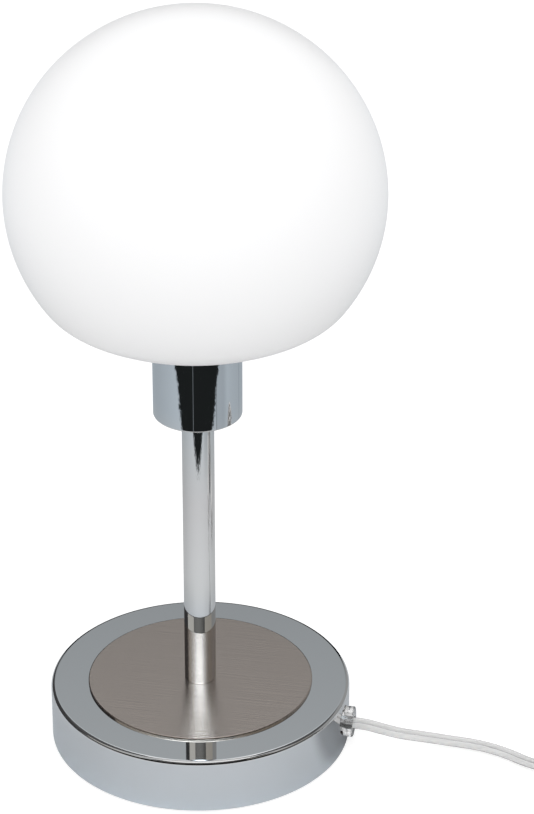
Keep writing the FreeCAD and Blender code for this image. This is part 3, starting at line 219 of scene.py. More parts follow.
class Tone:
    """A socket with arithmetic: each operator adds the Math node that it stands for."""

    def __init__(self, finish, socket):
        self.finish = finish
        self.socket = socket

    def _math(self, operation, first, second=None):
        values = {0: first} if second is None else {0: first, 1: second}
        return self.finish.add("ShaderNodeMath", {"operation": operation}, values)

    def __add__(self, other):
        return self._math("ADD", self, other)

    def __radd__(self, other):
        return self._math("ADD", other, self)

    def __sub__(self, other):
        return self._math("SUBTRACT", self, other)

    def __rsub__(self, other):
        return self._math("SUBTRACT", other, self)

    def __mul__(self, other):
        return self._math("MULTIPLY", self, other)

    def __rmul__(self, other):
        return self._math("MULTIPLY", other, self)

    def __truediv__(self, other):
        return self._math("DIVIDE", self, other)

    def __pow__(self, other):
        return self._math("POWER", self, other)

    def __gt__(self, other):
        return self._math("GREATER_THAN", self, other)

    def __lt__(self, other):
        return self._math("LESS_THAN", self, other)

    def __abs__(self):
        return self._math("ABSOLUTE", self)

    def sine(self):
        return self._math("SINE", self)

    def larger(self, other):
        return self._math("MAXIMUM", self, other)

    def ramp(self, start, end):
        """Smooth step from 0 at start to 1 at end."""
        return self.finish.add("ShaderNodeMapRange", {"interpolation_type": "SMOOTHSTEP"},
                               {"Value": self, "From Min": start, "From Max": end})


class Finish:
    """Node tree of a material or the world, built by adding nodes and linking their sockets."""

    def __init__(self, tree):
        self.tree = tree
        tree.nodes.clear()

    def add(self, kind, settings=None, values=None, output=0):
        """Adds a node: settings first, a ramp's stops among them, then the values or links of its sockets."""
        node = self.tree.nodes.new(kind)
        for name, setting in (settings or {}).items():
            if name == "stops":
                self._stops(node.color_ramp, setting)
            else:
                setattr(node, name, setting)
        for name, value in (values or {}).items():
            if isinstance(value, Tone):
                self.tree.links.new(value.socket, node.inputs[name])
            else:
                node.inputs[name].default_value = value
        return Tone(self, node.outputs[output]) if len(node.outputs) else node

    def _stops(self, ramp, stops):
        while len(ramp.elements) < len(stops):
            ramp.elements.new(0.5)
        for element, (position, colour) in zip(ramp.elements, stops):
            element.position = position
            element.color = (*colour, 1.0)

    def place(self, scale=(1, 1, 1)):
        """Object coordinates in metres, scaled."""
        coordinates = self.add("ShaderNodeTexCoord", output=3)
        return self.add("ShaderNodeMapping", None, {"Vector": coordinates, "Scale": scale})

    def axis(self, name):
        """One Object coordinate in metres."""
        coordinates = self.add("ShaderNodeTexCoord", output=3)
        return self.add("ShaderNodeSeparateXYZ", None, {0: coordinates}, output="XYZ".index(name))

    def noise(self, place, scale, detail, roughness=0.5):
        return self.add("ShaderNodeTexNoise", None, {"Vector": place, "Scale": scale, "Detail": detail,
                                                     "Roughness": roughness})

    def blend(self, amount, first, second):
        """Mix of two colours."""
        first = first if isinstance(first, Tone) else (*first, 1.0)
        second = second if isinstance(second, Tone) else (*second, 1.0)
        return self.add("ShaderNodeMix", {"data_type": "RGBA"}, {0: amount, 6: first, 7: second}, output=2)

    def scaled(self, colour, amount):
        """A colour times an amount that may be over one."""
        colour = colour if isinstance(colour, Tone) else (*colour, 1.0)
        return self.add("ShaderNodeMix", {"data_type": "RGBA", "clamp_factor": False},
                        {0: amount, 6: (0, 0, 0, 1), 7: colour}, output=2)

    def bump(self, height, strength, distance):
        values = {"Height": height, "Strength": strength, "Distance": distance}
        return self.add("ShaderNodeBump", None, values)

    def rays(self):
        """Whether a ray is the camera's, a glossy or a transmission ray, and its count of glossy bounces."""
        seen = self.add("ShaderNodeLightPath")
        outputs = seen.socket.node.outputs
        names = ("Is Glossy Ray", "Is Transmission Ray", "Glossy Depth")
        return [seen, *(Tone(self, outputs[name]) for name in names)]


def socket_name(key):
    """Name of a Principled socket from a keyword, such as Base Color from base_color."""
    return key.replace("_", " ").title().replace("Ior", "IOR")


class Surface(Finish):
    """A material with one Principled shader."""

    made = {}

    def __init__(self, name, **values):
        self.material = bpy.data.materials.new(name)
        self.material.use_nodes = True
        super().__init__(self.material.node_tree)
        self.values = {socket_name(key): value for key, value in values.items()}
        Surface.made[name] = self

    def close(self, **links):
        """Adds the Principled shader with the values given before and these links, and the output."""
        sockets = dict(self.values)
        sockets.update({socket_name(key): value for key, value in links.items()})
        shader = self.add("ShaderNodeBsdfPrincipled", None, sockets)
        self.add("ShaderNodeOutputMaterial", None, {"Surface": shader})
        return self.material


def settings(name):
    return getattr(bpy.context.scene, name)


def chrome_finish():
    """Polished plating: a faint haze of handling in the roughness and a very slight waviness."""
    metal = settings("lamp_metal")
    made = Surface("polished_chrome", metallic=1.0, ior=2.3)
    haze = made.noise(made.place(), 55.0, 4.0)
    cloud = made.noise(made.place(), 9.0, 2.0)
    tint = tuple(metal.chrome_colour)
    colour = made.blend(cloud * 0.5, tint, tuple(0.95 * c for c in tint))
    wave = made.bump(made.noise(made.place(), 14.0, 1.0), 0.02, 0.001)
    roughness = haze * 0.02 + (metal.chrome_roughness - 0.01)
    return made.close(base_color=colour, roughness=roughness, normal=wave)


def satin_finish():
    """Brushed steel: long scratches along X of uneven width, in the colour, the shine and the relief."""
    metal = settings("lamp_metal")
    made = Surface("brushed_steel", metallic=1.0)
    fine = made.noise(made.place(scale=(0.008, 1, 1)), 0.8 / metal.brush_spacing, 2.0, 0.6)
    broad = made.noise(made.place(scale=(0.02, 1, 1)), 0.25 / metal.brush_spacing, 2.0, 0.6)
    tint = tuple(metal.satin_colour)
    dark, pale = tuple(0.95 * c for c in tint), tuple(1.05 * c for c in tint)
    colour = made.blend(fine * 0.5 + broad * 0.5, dark, pale)
    roughness = fine * 0.08 + (metal.satin_roughness - 0.04)
    scratches = made.bump(fine + broad * 0.3, 1.0, metal.brush_depth)
    return made.close(base_color=colour, roughness=roughness, normal=scratches)


def opal_finish():
    """White glass, smooth and nearly even, with the faint cloud and ripple of a blown piece."""
    glass = settings("lamp_glass")
    made = Surface("opal_glass", roughness=0.42, ior=1.45, specular_ior_level=0.3)
    cloud = made.noise(made.place(), 18.0, 2.0)
    tint = tuple(glass.opal_colour)
    colour = made.blend(cloud * 0.3, tint, tuple(0.985 * c for c in tint))
    ripple = made.bump(made.noise(made.place(), 30.0, 2.0), 0.03, 0.001)
    return made.close(base_color=colour, normal=ripple)


def moulded_plastic(name, colour, roughness, grain=0.04, scale=900.0, **values):
    """Injection moulded plastic: one colour with a faint cloud and the fine grain of its mould."""
    made = Surface(name, **values)
    cloud = made.noise(made.place(), 40.0, 2.0)
    fine = made.noise(made.place(), scale, 2.0)
    shade = made.blend(cloud * 0.6, colour, tuple(0.94 * c for c in colour))
    return made.close(base_color=shade, roughness=fine * 0.08 + (roughness - 0.04),
                      normal=made.bump(fine, grain, 0.0002))


def clear_finish(name, colour, clearness, bore=0.0, axis_height=0.0):
    """Clear soft plastic with a painted dark rim where it is seen edge on, standing in for the shade and dark
    room that it reflects there, and painted shade within a bore along X.
    """
    made = Surface(name, transmission_weight=clearness, ior=1.40)
    cloud = made.noise(made.place(), 160.0, 2.0)
    shade = made.blend(cloud, colour, tuple(0.96 * c for c in colour))
    # Painted shade: the colour is darkened towards the edges as seen
    edge = made.add("ShaderNodeLayerWeight", None, {"Blend": 0.5}, output=1).ramp(0.3, 0.8)
    shade = made.blend(edge, shade, tuple(0.38 * c for c in colour))
    # Painted shade: the colour is darkened within the bore along X, where the inside of the base is in shadow
    if bore:
        across, rise = made.axis("Y"), made.axis("Z") - axis_height
        shade = made.blend((across * across + rise * rise) ** 0.5 < bore, shade, (0.05, 0.05, 0.05))
    relief = made.bump(cloud, 0.05, 0.0003)
    return made.close(base_color=shade, roughness=cloud * 0.06 + 0.06, normal=relief)


def strand_finish():
    """Tinned strands twisted round each other: diagonal ridges along the core, from the piece's own map,
    painted darker in the grooves between them as shade.
    """
    made = Surface("tinned_strands", metallic=0.3)
    along = made.add("ShaderNodeUVMap", {"uv_map": "twist"})
    ridge = (made.add("ShaderNodeSeparateXYZ", None, {0: along}) * (2 * math.pi)).sine() * 0.5 + 0.5
    # Painted shade: the grooves between the ridges are darker
    colour = made.blend(ridge, (0.78, 0.775, 0.77), (0.97, 0.965, 0.96))
    relief = made.bump(ridge, 0.4, 0.0002)
    return made.close(base_color=colour, roughness=0.55 - ridge * 0.12, normal=relief)


def turned_metal(name, colour, roughness):
    """Machined or plated metal with fine marks of the tool and a little tarnish."""
    made = Surface(name, metallic=1.0)
    marks = made.noise(made.place(scale=(1, 1, 6)), 420.0, 3.0)
    stain = made.noise(made.place(), 70.0, 4.0)
    shade = made.blend(stain * 0.7, colour, tuple(0.78 * c for c in colour))
    return made.close(base_color=shade, roughness=stain * 0.18 + marks * 0.06 + (roughness - 0.12),
                      normal=made.bump(marks, 0.08, 0.0002))


def cast_iron_finish():
    """Painted casting with the sand's grain and pits."""
    made = Surface("cast_iron")
    sand = made.noise(made.place(), 520.0, 5.0, 0.65)
    pits = made.noise(made.place(), 150.0, 4.0).ramp(0.35, 0.55)
    shade = made.blend(sand, (0.035, 0.036, 0.038), (0.085, 0.086, 0.09))
    relief = made.bump(sand + pits, 0.5, 0.0008)
    return made.close(base_color=shade, roughness=0.75 - pits * 0.15, normal=relief)


def foam_finish():
    """Black foam with open cells, each painted darker towards its middle as shade in the pore."""
    made = Surface("foam")
    cells = made.add("ShaderNodeTexVoronoi", None, {"Vector": made.place(), "Scale": 1400.0})
    # Painted shade: darker towards the middle of each open cell
    shade = made.blend(cells * 1.6, (0.012, 0.012, 0.013), (0.045, 0.045, 0.047))
    return made.close(base_color=shade, roughness=0.92 - cells * 0.1, normal=made.bump(cells, 0.6, 0.0006))


def strap_finish():
    """Woven black strap: crossing threads on Object coordinates, painted darker where the weave dips as shade
    between the threads.
    """
    made = Surface("strap")
    threads = 5200.0
    warp = (made.axis("X") * threads).sine()
    weft = (made.axis("Z") * threads).sine()
    weave = warp * weft * 0.5 + 0.5
    fuzz = made.noise(made.place(), 900.0, 3.0)
    # Painted shade where the weave dips, with a random fuzz in tone
    shade = made.blend(weave * 0.6 + fuzz * 0.4, (0.010, 0.010, 0.011), (0.05, 0.05, 0.053))
    relief = made.bump(weave + fuzz, 0.5, 0.0003)
    return made.close(base_color=shade, roughness=0.85 - weave * 0.15, normal=relief)


def build_finishes():
    chrome_finish()
    satin_finish()
    opal_finish()
    clear = tuple(settings("lamp_flex").clear_colour)
    clear_finish("clear_plastic", clear, 0.6)
    bush = tuple(0.86 * c for c in clear)
    # The bush's bore is painted dark as shade
    clear_finish("clear_bush", bush, 0.96, bore=3.4 * MM, axis_height=flex_near_route[0][2])
    strand_finish()
    cast_iron_finish()
    foam_finish()
    strap_finish()
    moulded_plastic("white_plastic", (0.80, 0.80, 0.79), 0.32)
    moulded_plastic("rocker_plastic", (0.74, 0.74, 0.73), 0.26, grain=0.02)
    moulded_plastic("dark_plastic", (0.030, 0.029, 0.028), 0.38)
    moulded_plastic("porcelain", (0.78, 0.76, 0.72), 0.22, grain=0.02, scale=300.0, coat_weight=0.4)
    moulded_plastic("silicone", (0.72, 0.72, 0.72), 0.5, scale=500.0, subsurface_weight=0.1)
    moulded_plastic("core_cover", (0.70, 0.70, 0.69), 0.4)
    moulded_plastic("black_glass", (0.012, 0.012, 0.012), 0.12, grain=0.01)
    moulded_plastic("filament_coat", (0.85, 0.62, 0.16), 0.55, scale=1800.0)
    moulded_plastic("frosted_glass", (0.86, 0.87, 0.87), 0.38, transmission_weight=0.55, ior=1.45)
    turned_metal("zinc_steel", (0.52, 0.53, 0.55), 0.38)
    turned_metal("spring_steel", (0.42, 0.43, 0.45), 0.30)
    # A darker copy of the disc's steel for its side: painted shade along the disc's edge, with real tool
    # marks and tarnish
    turned_metal("steel_edge_painted_shade", (0.40, 0.35, 0.31), 0.15)
    turned_metal("brass", (0.72, 0.52, 0.22), 0.30)
    turned_metal("nickel", (0.66, 0.64, 0.60), 0.22)
    turned_metal("cap_aluminium", (0.72, 0.72, 0.73), 0.34)
    turned_metal("solder", (0.58, 0.58, 0.60), 0.42)


def finish(name):
    return Surface.made[name].material


def closed_mesh(name, grids):
    """Mesh of grids of points, rows by columns by three, closed along their rows, with doubles merged."""
    points = []
    faces = []
    start = 0
    for grid in grids:
        rows, columns = grid.shape[:2]
        index = start + np.arange(rows * columns).reshape(rows, columns)
        following = np.roll(index, -1, axis=1)
        quads = np.stack([index[:-1], following[:-1], following[1:], index[1:]], axis=-1).reshape(-1, 4)
        points.append(grid.reshape(-1, 3))
        faces.append(quads)
        start += rows * columns
    mesh = bpy.data.meshes.new(name)
    mesh.from_pydata(np.concatenate(points).tolist(), [], np.concatenate(faces).tolist())
    work = bmesh.new()
    work.from_mesh(mesh)
    bmesh.ops.remove_doubles(work, verts=work.verts, dist=merge_distance)
    bmesh.ops.recalc_face_normals(work, faces=work.faces)
    work.to_mesh(mesh)
    work.free()
    mesh.shade_smooth()
    mesh.set_sharp_from_angle(angle=sharp_angle)
    return mesh


def add_piece(name, mesh, finishes, body, replaced=()):
    """Links a mesh as a piece with its finishes, on a body, in place of the nodes it stands for."""
    piece = bpy.data.objects.new(name, mesh)
    bpy.context.scene.collection.objects.link(piece)
    for each in finishes:
        mesh.materials.append(finish(each))
    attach(piece, body)
    if replaced:
        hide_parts(*replaced)
    return piece


def dress(name, *nodes):
    """Gives CAD nodes a finish."""
    for node in nodes:
        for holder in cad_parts[node].material_slots:
            holder.material = finish(name)


def rounded_outline(corners, steps=8):
    """Points of a closed outline of corners (u, v, radius), each rounded by an arc tangent to both its sides,
    with one more point on each side just past the arc, so that the sides stay flat to the eye."""
    count = len(corners)
    points = []
    for k, (u, v, radius) in enumerate(corners):
        here = np.array([u, v], dtype=float)
        if radius <= 0:
            points.append(here[None])
            continue
        back = np.array(corners[k - 1][:2]) - here
        ahead = np.array(corners[(k + 1) % count][:2]) - here
        back = back / np.linalg.norm(back)
        ahead = ahead / np.linalg.norm(ahead)
        half = math.acos(np.clip(back @ ahead, -1, 1)) / 2
        middle = here + (back + ahead) / np.linalg.norm(back + ahead) * radius / math.sin(half)
        entry = here + back * radius / math.tan(half) - middle
        leave = here + ahead * radius / math.tan(half) - middle
        share = np.linspace(0, 1, steps)[:, None]
        arc = entry * (1 - share) + leave * share
        arc = middle + arc / np.linalg.norm(arc, axis=1, keepdims=True) * radius
        past = 0.15 * MM
        points.append(np.concatenate([arc[:1] + back * past, arc, arc[-1:] + ahead * past]))
    return np.concatenate(points)


def turned(outline, segments):
    """Surface of revolution: each point (r, h) of the closed outline goes round as (r cos a, r sin a, h)."""
    ring = np.linspace(0, 2 * math.pi, segments, endpoint=False)
    outline = np.concatenate([outline, outline[:1]])
    r, h = outline[:, 0, None], outline[:, 1, None]
    return np.stack([r * np.cos(ring), r * np.sin(ring), h + 0 * ring], axis=-1)


def add_turned(name, outline, finish_name, node, body="lamp"):
    """Piece of revolution in one finish, in place of a node."""
    mesh = closed_mesh(name, [turned(outline, settings("lamp_glass").segments)])
    return add_piece(name, mesh, [finish_name], body, [node])


def arc_points(centre, radius, start, end, steps):
    """Points centre + radius (cos a, sin a) for a from start to end."""
    angle = np.linspace(start, end, steps)
    return np.stack([centre[0] + radius * np.cos(angle), centre[1] + radius * np.sin(angle)], axis=1)


def route_points(points, name):
    """Centre line of a flex: a smooth spline of order 3 on its control points, read as a fine polyline."""
    data = bpy.data.curves.new(name, "CURVE")
    data.dimensions = "3D"
    data.resolution_u = 10
    spline = data.splines.new("NURBS")
    spline.points.add(len(points) - 1)
    weighted = np.concatenate([np.array(points), np.ones((len(points), 1))], axis=1)
    spline.points.foreach_set("co", weighted.ravel())
    spline.order_u = 3
    spline.use_endpoint_u = True
    holder = bpy.data.objects.new(name, data)
    bpy.context.scene.collection.objects.link(holder)
    bpy.context.view_layer.update()
    evaluated = holder.evaluated_get(bpy.context.evaluated_depsgraph_get())
    mesh = bpy.data.meshes.new_from_object(evaluated)
    line = np.empty(len(mesh.vertices) * 3)
    mesh.vertices.foreach_get("co", line)
    bpy.data.objects.remove(holder)
    bpy.data.meshes.remove(mesh)
    return line.reshape(-1, 3)


def even_line(line, spacing):
    """The same line with points about a spacing apart, and the distance of each along it."""
    steps = np.linalg.norm(np.diff(line, axis=0), axis=1)
    travelled = np.concatenate([[0], np.cumsum(steps)])
    wanted = np.linspace(0, travelled[-1], max(4, round(travelled[-1] / spacing)))
    return np.stack([np.interp(wanted, travelled, line[:, k]) for k in range(3)], axis=1), wanted


def level_frames(line):
    """Level normal and upward normal along a line that never runs straight up."""
    tangent = np.gradient(line, axis=0)
    tangent /= np.linalg.norm(tangent, axis=1, keepdims=True)
    level = np.cross([0, 0, 1], tangent)
    level /= np.linalg.norm(level, axis=1, keepdims=True)
    return level, np.cross(tangent, level)


def carried(line, section, tilt):
    """Tube: at each point of the line, the section (u, v) turned by tilt lies across it as u level + v up."""
    level, up = level_frames(line)
    u, v = section[:, 0], section[:, 1]
    c, s = np.cos(tilt)[:, None], np.sin(tilt)[:, None]
    across, rise = u * c - v * s, u * s + v * c
    tube = line[:, None] + across[..., None] * level[:, None] + rise[..., None] * up[:, None]
    start = np.repeat(line[:1, None], len(section), axis=1)
    end = np.repeat(line[-1:, None], len(section), axis=1)
    return np.concatenate([start, tube, end])


def twin_section(width, thickness, steps=14):
    """Outline of twin flex: two circles side by side, joined at their waist."""
    radius = thickness / 2
    offset = width / 2 - radius
    waist = math.acos(min(0.98, offset / radius)) if offset < radius else 0.30
    right = arc_points((offset, 0), radius, -math.pi + waist, math.pi - waist, steps)
    return np.concatenate([right, right * [-1, -1]])


def near_tilt(far):
    """Turn of the flex about itself from the bush to the switch, where it has gone back by 25 degrees."""
    return np.radians(exit_tilt - 25 * (far / far[-1]))


def coil_tilt(far):
    """Turn of the flex about itself in its coil: 45 degrees, and up to 40 either way in waves along it."""
    return np.radians(45 + 40 * np.sin(far * 47.0) * np.sin(far * 13.0 + 1.0))


def twin_flex(name, route, tilt, replaced, spacing):
    """Twin flex on a route: clear cover of two lobes with twisted strands in each. Returns both pieces and
    their centre line."""
    flex = settings("lamp_flex")
    line, travelled = even_line(route_points(route, name + "_route"), spacing)
    turn = tilt(travelled)
    cover = closed_mesh(name, [carried(line, twin_section(flex.flex_width, flex.flex_thickness), turn)])
    piece = add_piece(name, cover, ["clear_plastic"], "lamp", replaced)
    offset = flex.flex_width / 2 - flex.flex_thickness / 2
    strand = arc_points((0, 0), flex.strand_radius, 0, 2 * math.pi * 11 / 12, 12)
    cores = [carried(line[1:-1], strand + [side * offset, 0], turn[1:-1]) for side in (-1, 1)]
    strands = closed_mesh(name + "_strands", cores)
    wires = add_piece(name + "_strands", strands, ["tinned_strands"], "lamp")
    twist_map(strands)
    return piece, wires, line


def twist_map(mesh):
    """Map whose first coordinate counts the strands' ridges: (x + y + 1.5 z) over the pitch of the twist."""
    layer = mesh.uv_layers.new(name="twist")
    corners = np.empty(len(mesh.loops), dtype=int)
    mesh.loops.foreach_get("vertex_index", corners)
    places = np.empty(len(mesh.vertices) * 3)
    mesh.vertices.foreach_get("co", places)
    places = places.reshape(-1, 3)[corners]
    ridges = (places[:, 0] + places[:, 1] + 1.5 * places[:, 2]) / twist_pitch
    layer.data.foreach_set("uv", np.stack([ridges, 0 * ridges], axis=1).ravel())


def coil_station(turns):
    """Centre line of the coil after some turns: layers wind in and out and climb where the spiral reverses.
    A layer's radius goes by one pitch each turn. In a change of c turns, with t from 0 to 1, it goes out and
    back by c (t - t^2) pitches, and the height rises by t^2 (3 - 2 t) of a layer."""
    layer_turns = (coil_turns - layer_change * (coil_layers - 1)) / coil_layers
    outer = coil_middle_radius + coil_pitch * layer_turns / 2
    inner = coil_middle_radius - coil_pitch * layer_turns / 2
    layer = np.minimum((turns // (layer_turns + layer_change)).astype(int), coil_layers - 1)
    rest = turns - layer * (layer_turns + layer_change)
    inward = np.where(layer % 2 == 0, -1, 1)
    start = np.where(inward < 0, outer, inner)
    climb = np.clip((rest - layer_turns) / layer_change, 0, 1)
    wound = np.minimum(rest, layer_turns) + layer_change * (climb - climb ** 2)
    radius = start + inward * coil_pitch * wound
    height = coil_bottom + coil_rise * (layer + climb ** 2 * (3 - 2 * climb))
    angle = 2 * math.pi * turns
    across = coil_centre[0] + radius * np.cos(angle)
    return np.stack([across, coil_centre[1] + radius * np.sin(angle), height], axis=-1)


def coil_route():
    """Whole route from the switch through the coil to the plug: turns by formula between listed points."""
    turns = np.linspace(0, coil_turns, round(coil_turns * coil_points_per_turn) + 1)
    coil = coil_station(turns)
    first = coil[0] - coil[1]
    last = coil[-1] - coil[-2]
    first /= np.linalg.norm(first)
    last /= np.linalg.norm(last)
    before = [coil[0] + first * reach for reach in reaches_before]
    after = [coil[-1] + last * reach for reach in reaches_after]
    return np.concatenate([np.array(flex_mid_route), before, coil, after, np.array(flex_end_route)])


def about_stem(x, y, away):
    """Side and front, the sine and cosine of the way from the stem to (x, y) as the camera sees it."""
    turn_cos, turn_sin = math.cos(view_azimuth), math.sin(view_azimuth)
    return (x * turn_cos + y * turn_sin) / away, (x * turn_sin - y * turn_cos) / away


class LAMP_OT_stage(bpy.types.Operator):
    """Camera at the photograph's angle, white floor, even room light and one soft front light"""
    bl_idname = "lamp.stage"
    bl_label = "Stage and camera"

    def execute(self, context):
        stage = settings("lamp_stage")
        self.camera(context)
        self.floor(context, stage)
        self.room(context, stage)
        self.front_light(context, stage)
        context.scene.view_settings.view_transform = "Standard"
        return {"FINISHED"}

    def camera(self, context):
        data = bpy.data.cameras.new("camera")
        data.sensor_fit = "VERTICAL"
        data.sensor_height = sensor_side
        data.lens = camera_lens
        camera = bpy.data.objects.new("camera", data)
        context.scene.collection.objects.link(camera)
        camera.location = camera_place
        look = (Vector(camera_target) - Vector(camera_place)).to_track_quat("-Z", "Y")
        camera.rotation_euler = (look.to_matrix() @ Matrix.Rotation(camera_roll, 3, "Z")).to_euler()
        context.scene.camera = camera

    def floor(self, context, stage):
        """White floor that keeps the lamp's shadow, and a pale field with a dark studio beyond in metal."""
        half = stage.floor_size / 2
        corners = [(-half, -half, 0), (half, -half, 0), (half, half, 0), (-half, half, 0)]
        mesh = bpy.data.meshes.new("floor")
        mesh.from_pydata(corners, [], [(0, 1, 2, 3)])
        floor = bpy.data.objects.new("floor", mesh)
        context.scene.collection.objects.link(floor)
        material = bpy.data.materials.new("floor")
        material.use_nodes = True
        mesh.materials.append(material)
        made = Finish(material.node_tree)
        seen, mirrored, through, _ = made.rays()
        colour = made.blend(mirrored, floor_grey, self.mirrored_floor(made, stage))
        matt = made.add("ShaderNodeBsdfDiffuse", None, {"Color": colour})
        glow = made.add("ShaderNodeEmission", None, {"Color": (1, 1, 1, 1), "Strength": stage.floor_white})
        lit = made.add("ShaderNodeBsdfDiffuse", None, {"Color": (*floor_matt, 1.0)})
        white = made.add("ShaderNodeAddShader", None, {0: glow, 1: lit})
        surface = made.add("ShaderNodeMixShader", None, {0: seen.larger(through), 1: matt, 2: white})
        made.add("ShaderNodeOutputMaterial", None, {"Surface": surface})

    def mirrored_floor(self, made, stage):
        """Pale field round the lamp: level by direction, tint by distance, a torn edge in front, a painted
        shadow under the flex and painted shade close round the base except in front.
        """
        x, y = made.axis("X"), made.axis("Y")
        away = (x * x + y * y) ** 0.5
        side, front = about_stem(x, y, away)
        torn = made.add("ShaderNodeCombineXYZ", None, {0: away, 1: side * tear_spread})
        ragged = made.noise(torn, tear_scale, 2.0, 0.6) - 0.5
        across = side * away
        edge = (stage.dark_distance - across * across * edge_bow - away.ramp(*edge_step) * edge_step_depth
                + ragged * tear_depth)
        far = away > stripes_from
        slit = (abs(side - slit_side) < slit_half) * far
        line = (abs(side - line_side) < line_half) * far
        beyond = (front * away - edge).ramp(*edge_blur) * (1.0 - slit * slit_dark)
        # Painted shadow of the flex on the floor
        painted_flex_shadow = (abs(y - under_flex_y).ramp(*under_flex_across) * x.ramp(*under_flex_out)
                      * away.ramp(*under_flex_end))
        right = side.ramp(*right_side) * front.ramp(*right_front) * away.ramp(*right_away)
        # Painted shade close round the base, except in front
        near = away.ramp(*near_away) * (1.0 - front.ramp(*near_front))
        lit = 1.0 - painted_flex_shadow * painted_flex_shadow_dark - right * right_dark - line * line_dark - near * painted_base_shade_dark
        level = (front * floor_front_gain + floor_level) * (side * floor_side_gain + 1.0) * lit
        tint = made.add("ShaderNodeValToRGB", {"stops": floor_tints}, {0: away})
        return made.blend(beyond, made.scaled(tint, level), dark_studio)

    def room(self, context, stage):
        """Room that is white to the eye and an even light on matt pieces, with what metal mirrors of it."""
        world = bpy.data.worlds.new("room")
        world.use_nodes = True
        context.scene.world = world
        made = Finish(world.node_tree)
        seen, mirrored, through, bounces = made.rays()
        direction = made.add("ShaderNodeTexCoord", output=0)
        x, y, height = (made.add("ShaderNodeSeparateXYZ", None, {0: direction}, output=k) for k in range(3))
        side, front = about_stem(x, y, (x * x + y * y) ** 0.5 + straight_up_guard)
        soft = made.scaled((1, 1, 1), height * even_light_gain + stage.world_level)
        shown = self.mirrored_room(made, stage, side, front, height, bounces > 1.5)
        colour = made.blend(seen.larger(through), made.blend(mirrored, soft, shown), (1, 1, 1))
        backdrop = made.add("ShaderNodeBackground", None, {"Color": colour, "Strength": 1.0})
        made.add("ShaderNodeOutputWorld", None, {"Surface": backdrop})

    def mirrored_room(self, made, stage, side, front, height, second):
        """Grey wall behind the lamp, darker walls at its sides, and the camera's side in front."""
        behind = made.blend(height.ramp(*behind_change), behind_low, behind_high)
        behind = made.scaled(behind, (height - behind_middle) * behind_height_gain
                             + (behind_level - side * behind_side_gain))
        wall = made.blend(side > 0, wall_left, wall_right)
        wall = made.blend(height.ramp(*wall_change), wall, wall_high)
        corner = wall_front - height.ramp(*wall_front_change) * wall_front_gain
        ahead = self.camera_side(made, stage, side, front, height, second)
        return made.blend(front > behind_front, behind, made.blend(front > corner, wall, ahead))

    def camera_side(self, made, stage, side, front, height, second):
        """Ground, a pale low field with a figure in it, a panel above, and the ceiling. The panel is bright
        only in a second reflection: in the first it is dark below and white above, with grey sides."""
        low = made.blend((side - low_from) / low_width, low_left, low_right)
        ground = made.scaled((1, 1, 1), abs(side).ramp(*ground_side) * ground_gain + ground_level)
        low = made.blend(height.ramp(*low_end), ground, low)
        reach = side.ramp(*panel_left) * side.ramp(*panel_right) * front.ramp(*panel_ahead)
        bright = made.scaled(panel_tint, reach * stage.panel_level + panel_least)
        plain = made.blend(height > plain_foot, plain_dark, plain_white)
        inside = side.ramp(*plain_left) * side.ramp(*plain_right) * front.ramp(*panel_ahead)
        panel = made.blend(second, made.blend(inside, plain_sides, plain), bright)
        ahead = made.blend(height.ramp(*low_top), low, made.blend(height.ramp(*ceiling), panel, (1, 1, 1)))
        figure = (side > figure_left) * (side < figure_right) * (front > 0) * height.ramp(*figure_top)
        off = side - figure_middle
        shade = (figure_level - off * off * figure_falloff) * height.ramp(*figure_foot)
        return made.blend(figure, ahead, made.scaled(figure_tint, shade))

    def front_light(self, context, stage):
        data = bpy.data.lights.new("front_light", "AREA")
        data.energy = stage.key_power
        data.size = 1.2
        light = bpy.data.objects.new("front_light", data)
        context.scene.collection.objects.link(light)
        light.location = (0.25, -1.5, 1.3)
        light.rotation_euler = (Vector((0, 0, 0.2)) - light.location).to_track_quat("-Z", "Y").to_euler()
        light.visible_glossy = False


class LAMP_OT_flex(bpy.types.Operator):
    """Twin flex: from the bush to the switch, and through the coil to the plug"""
    bl_idname = "lamp.flex"
    bl_label = "Twin flex"

    def execute(self, context):
        near, near_wires, near_line = twin_flex(
            "flex_near_twin", flex_near_route, near_tilt, ["flex_near"], 1.0 * MM)
        away, away_wires, away_line = twin_flex(
            "flex_away_twin", coil_route(), coil_tilt, ["flex_mid", "flex_coil", "flex_end"], 2.2 * MM)
        self.tail()
        return {"FINISHED"}

    def tail(self):
        """Straight twin flex inside the bush and the clamp, turned as it leaves the bush."""
        flex = settings("lamp_flex")
        low, high = piece_box("flex_tail")
        exit_height = flex_near_route[0][2]
        line, _ = even_line(np.array([[low[0], 0, exit_height], [high[0], 0, exit_height]]), 2.0 * MM)
        section = twin_section(flex.flex_width, flex.flex_thickness)
        tilt = np.full(len(line), math.radians(exit_tilt))
        mesh = closed_mesh("flex_tail_twin", [carried(line, section, tilt)])
        add_piece("flex_tail_twin", mesh, ["clear_plastic"], "lamp", ["flex_tail"])


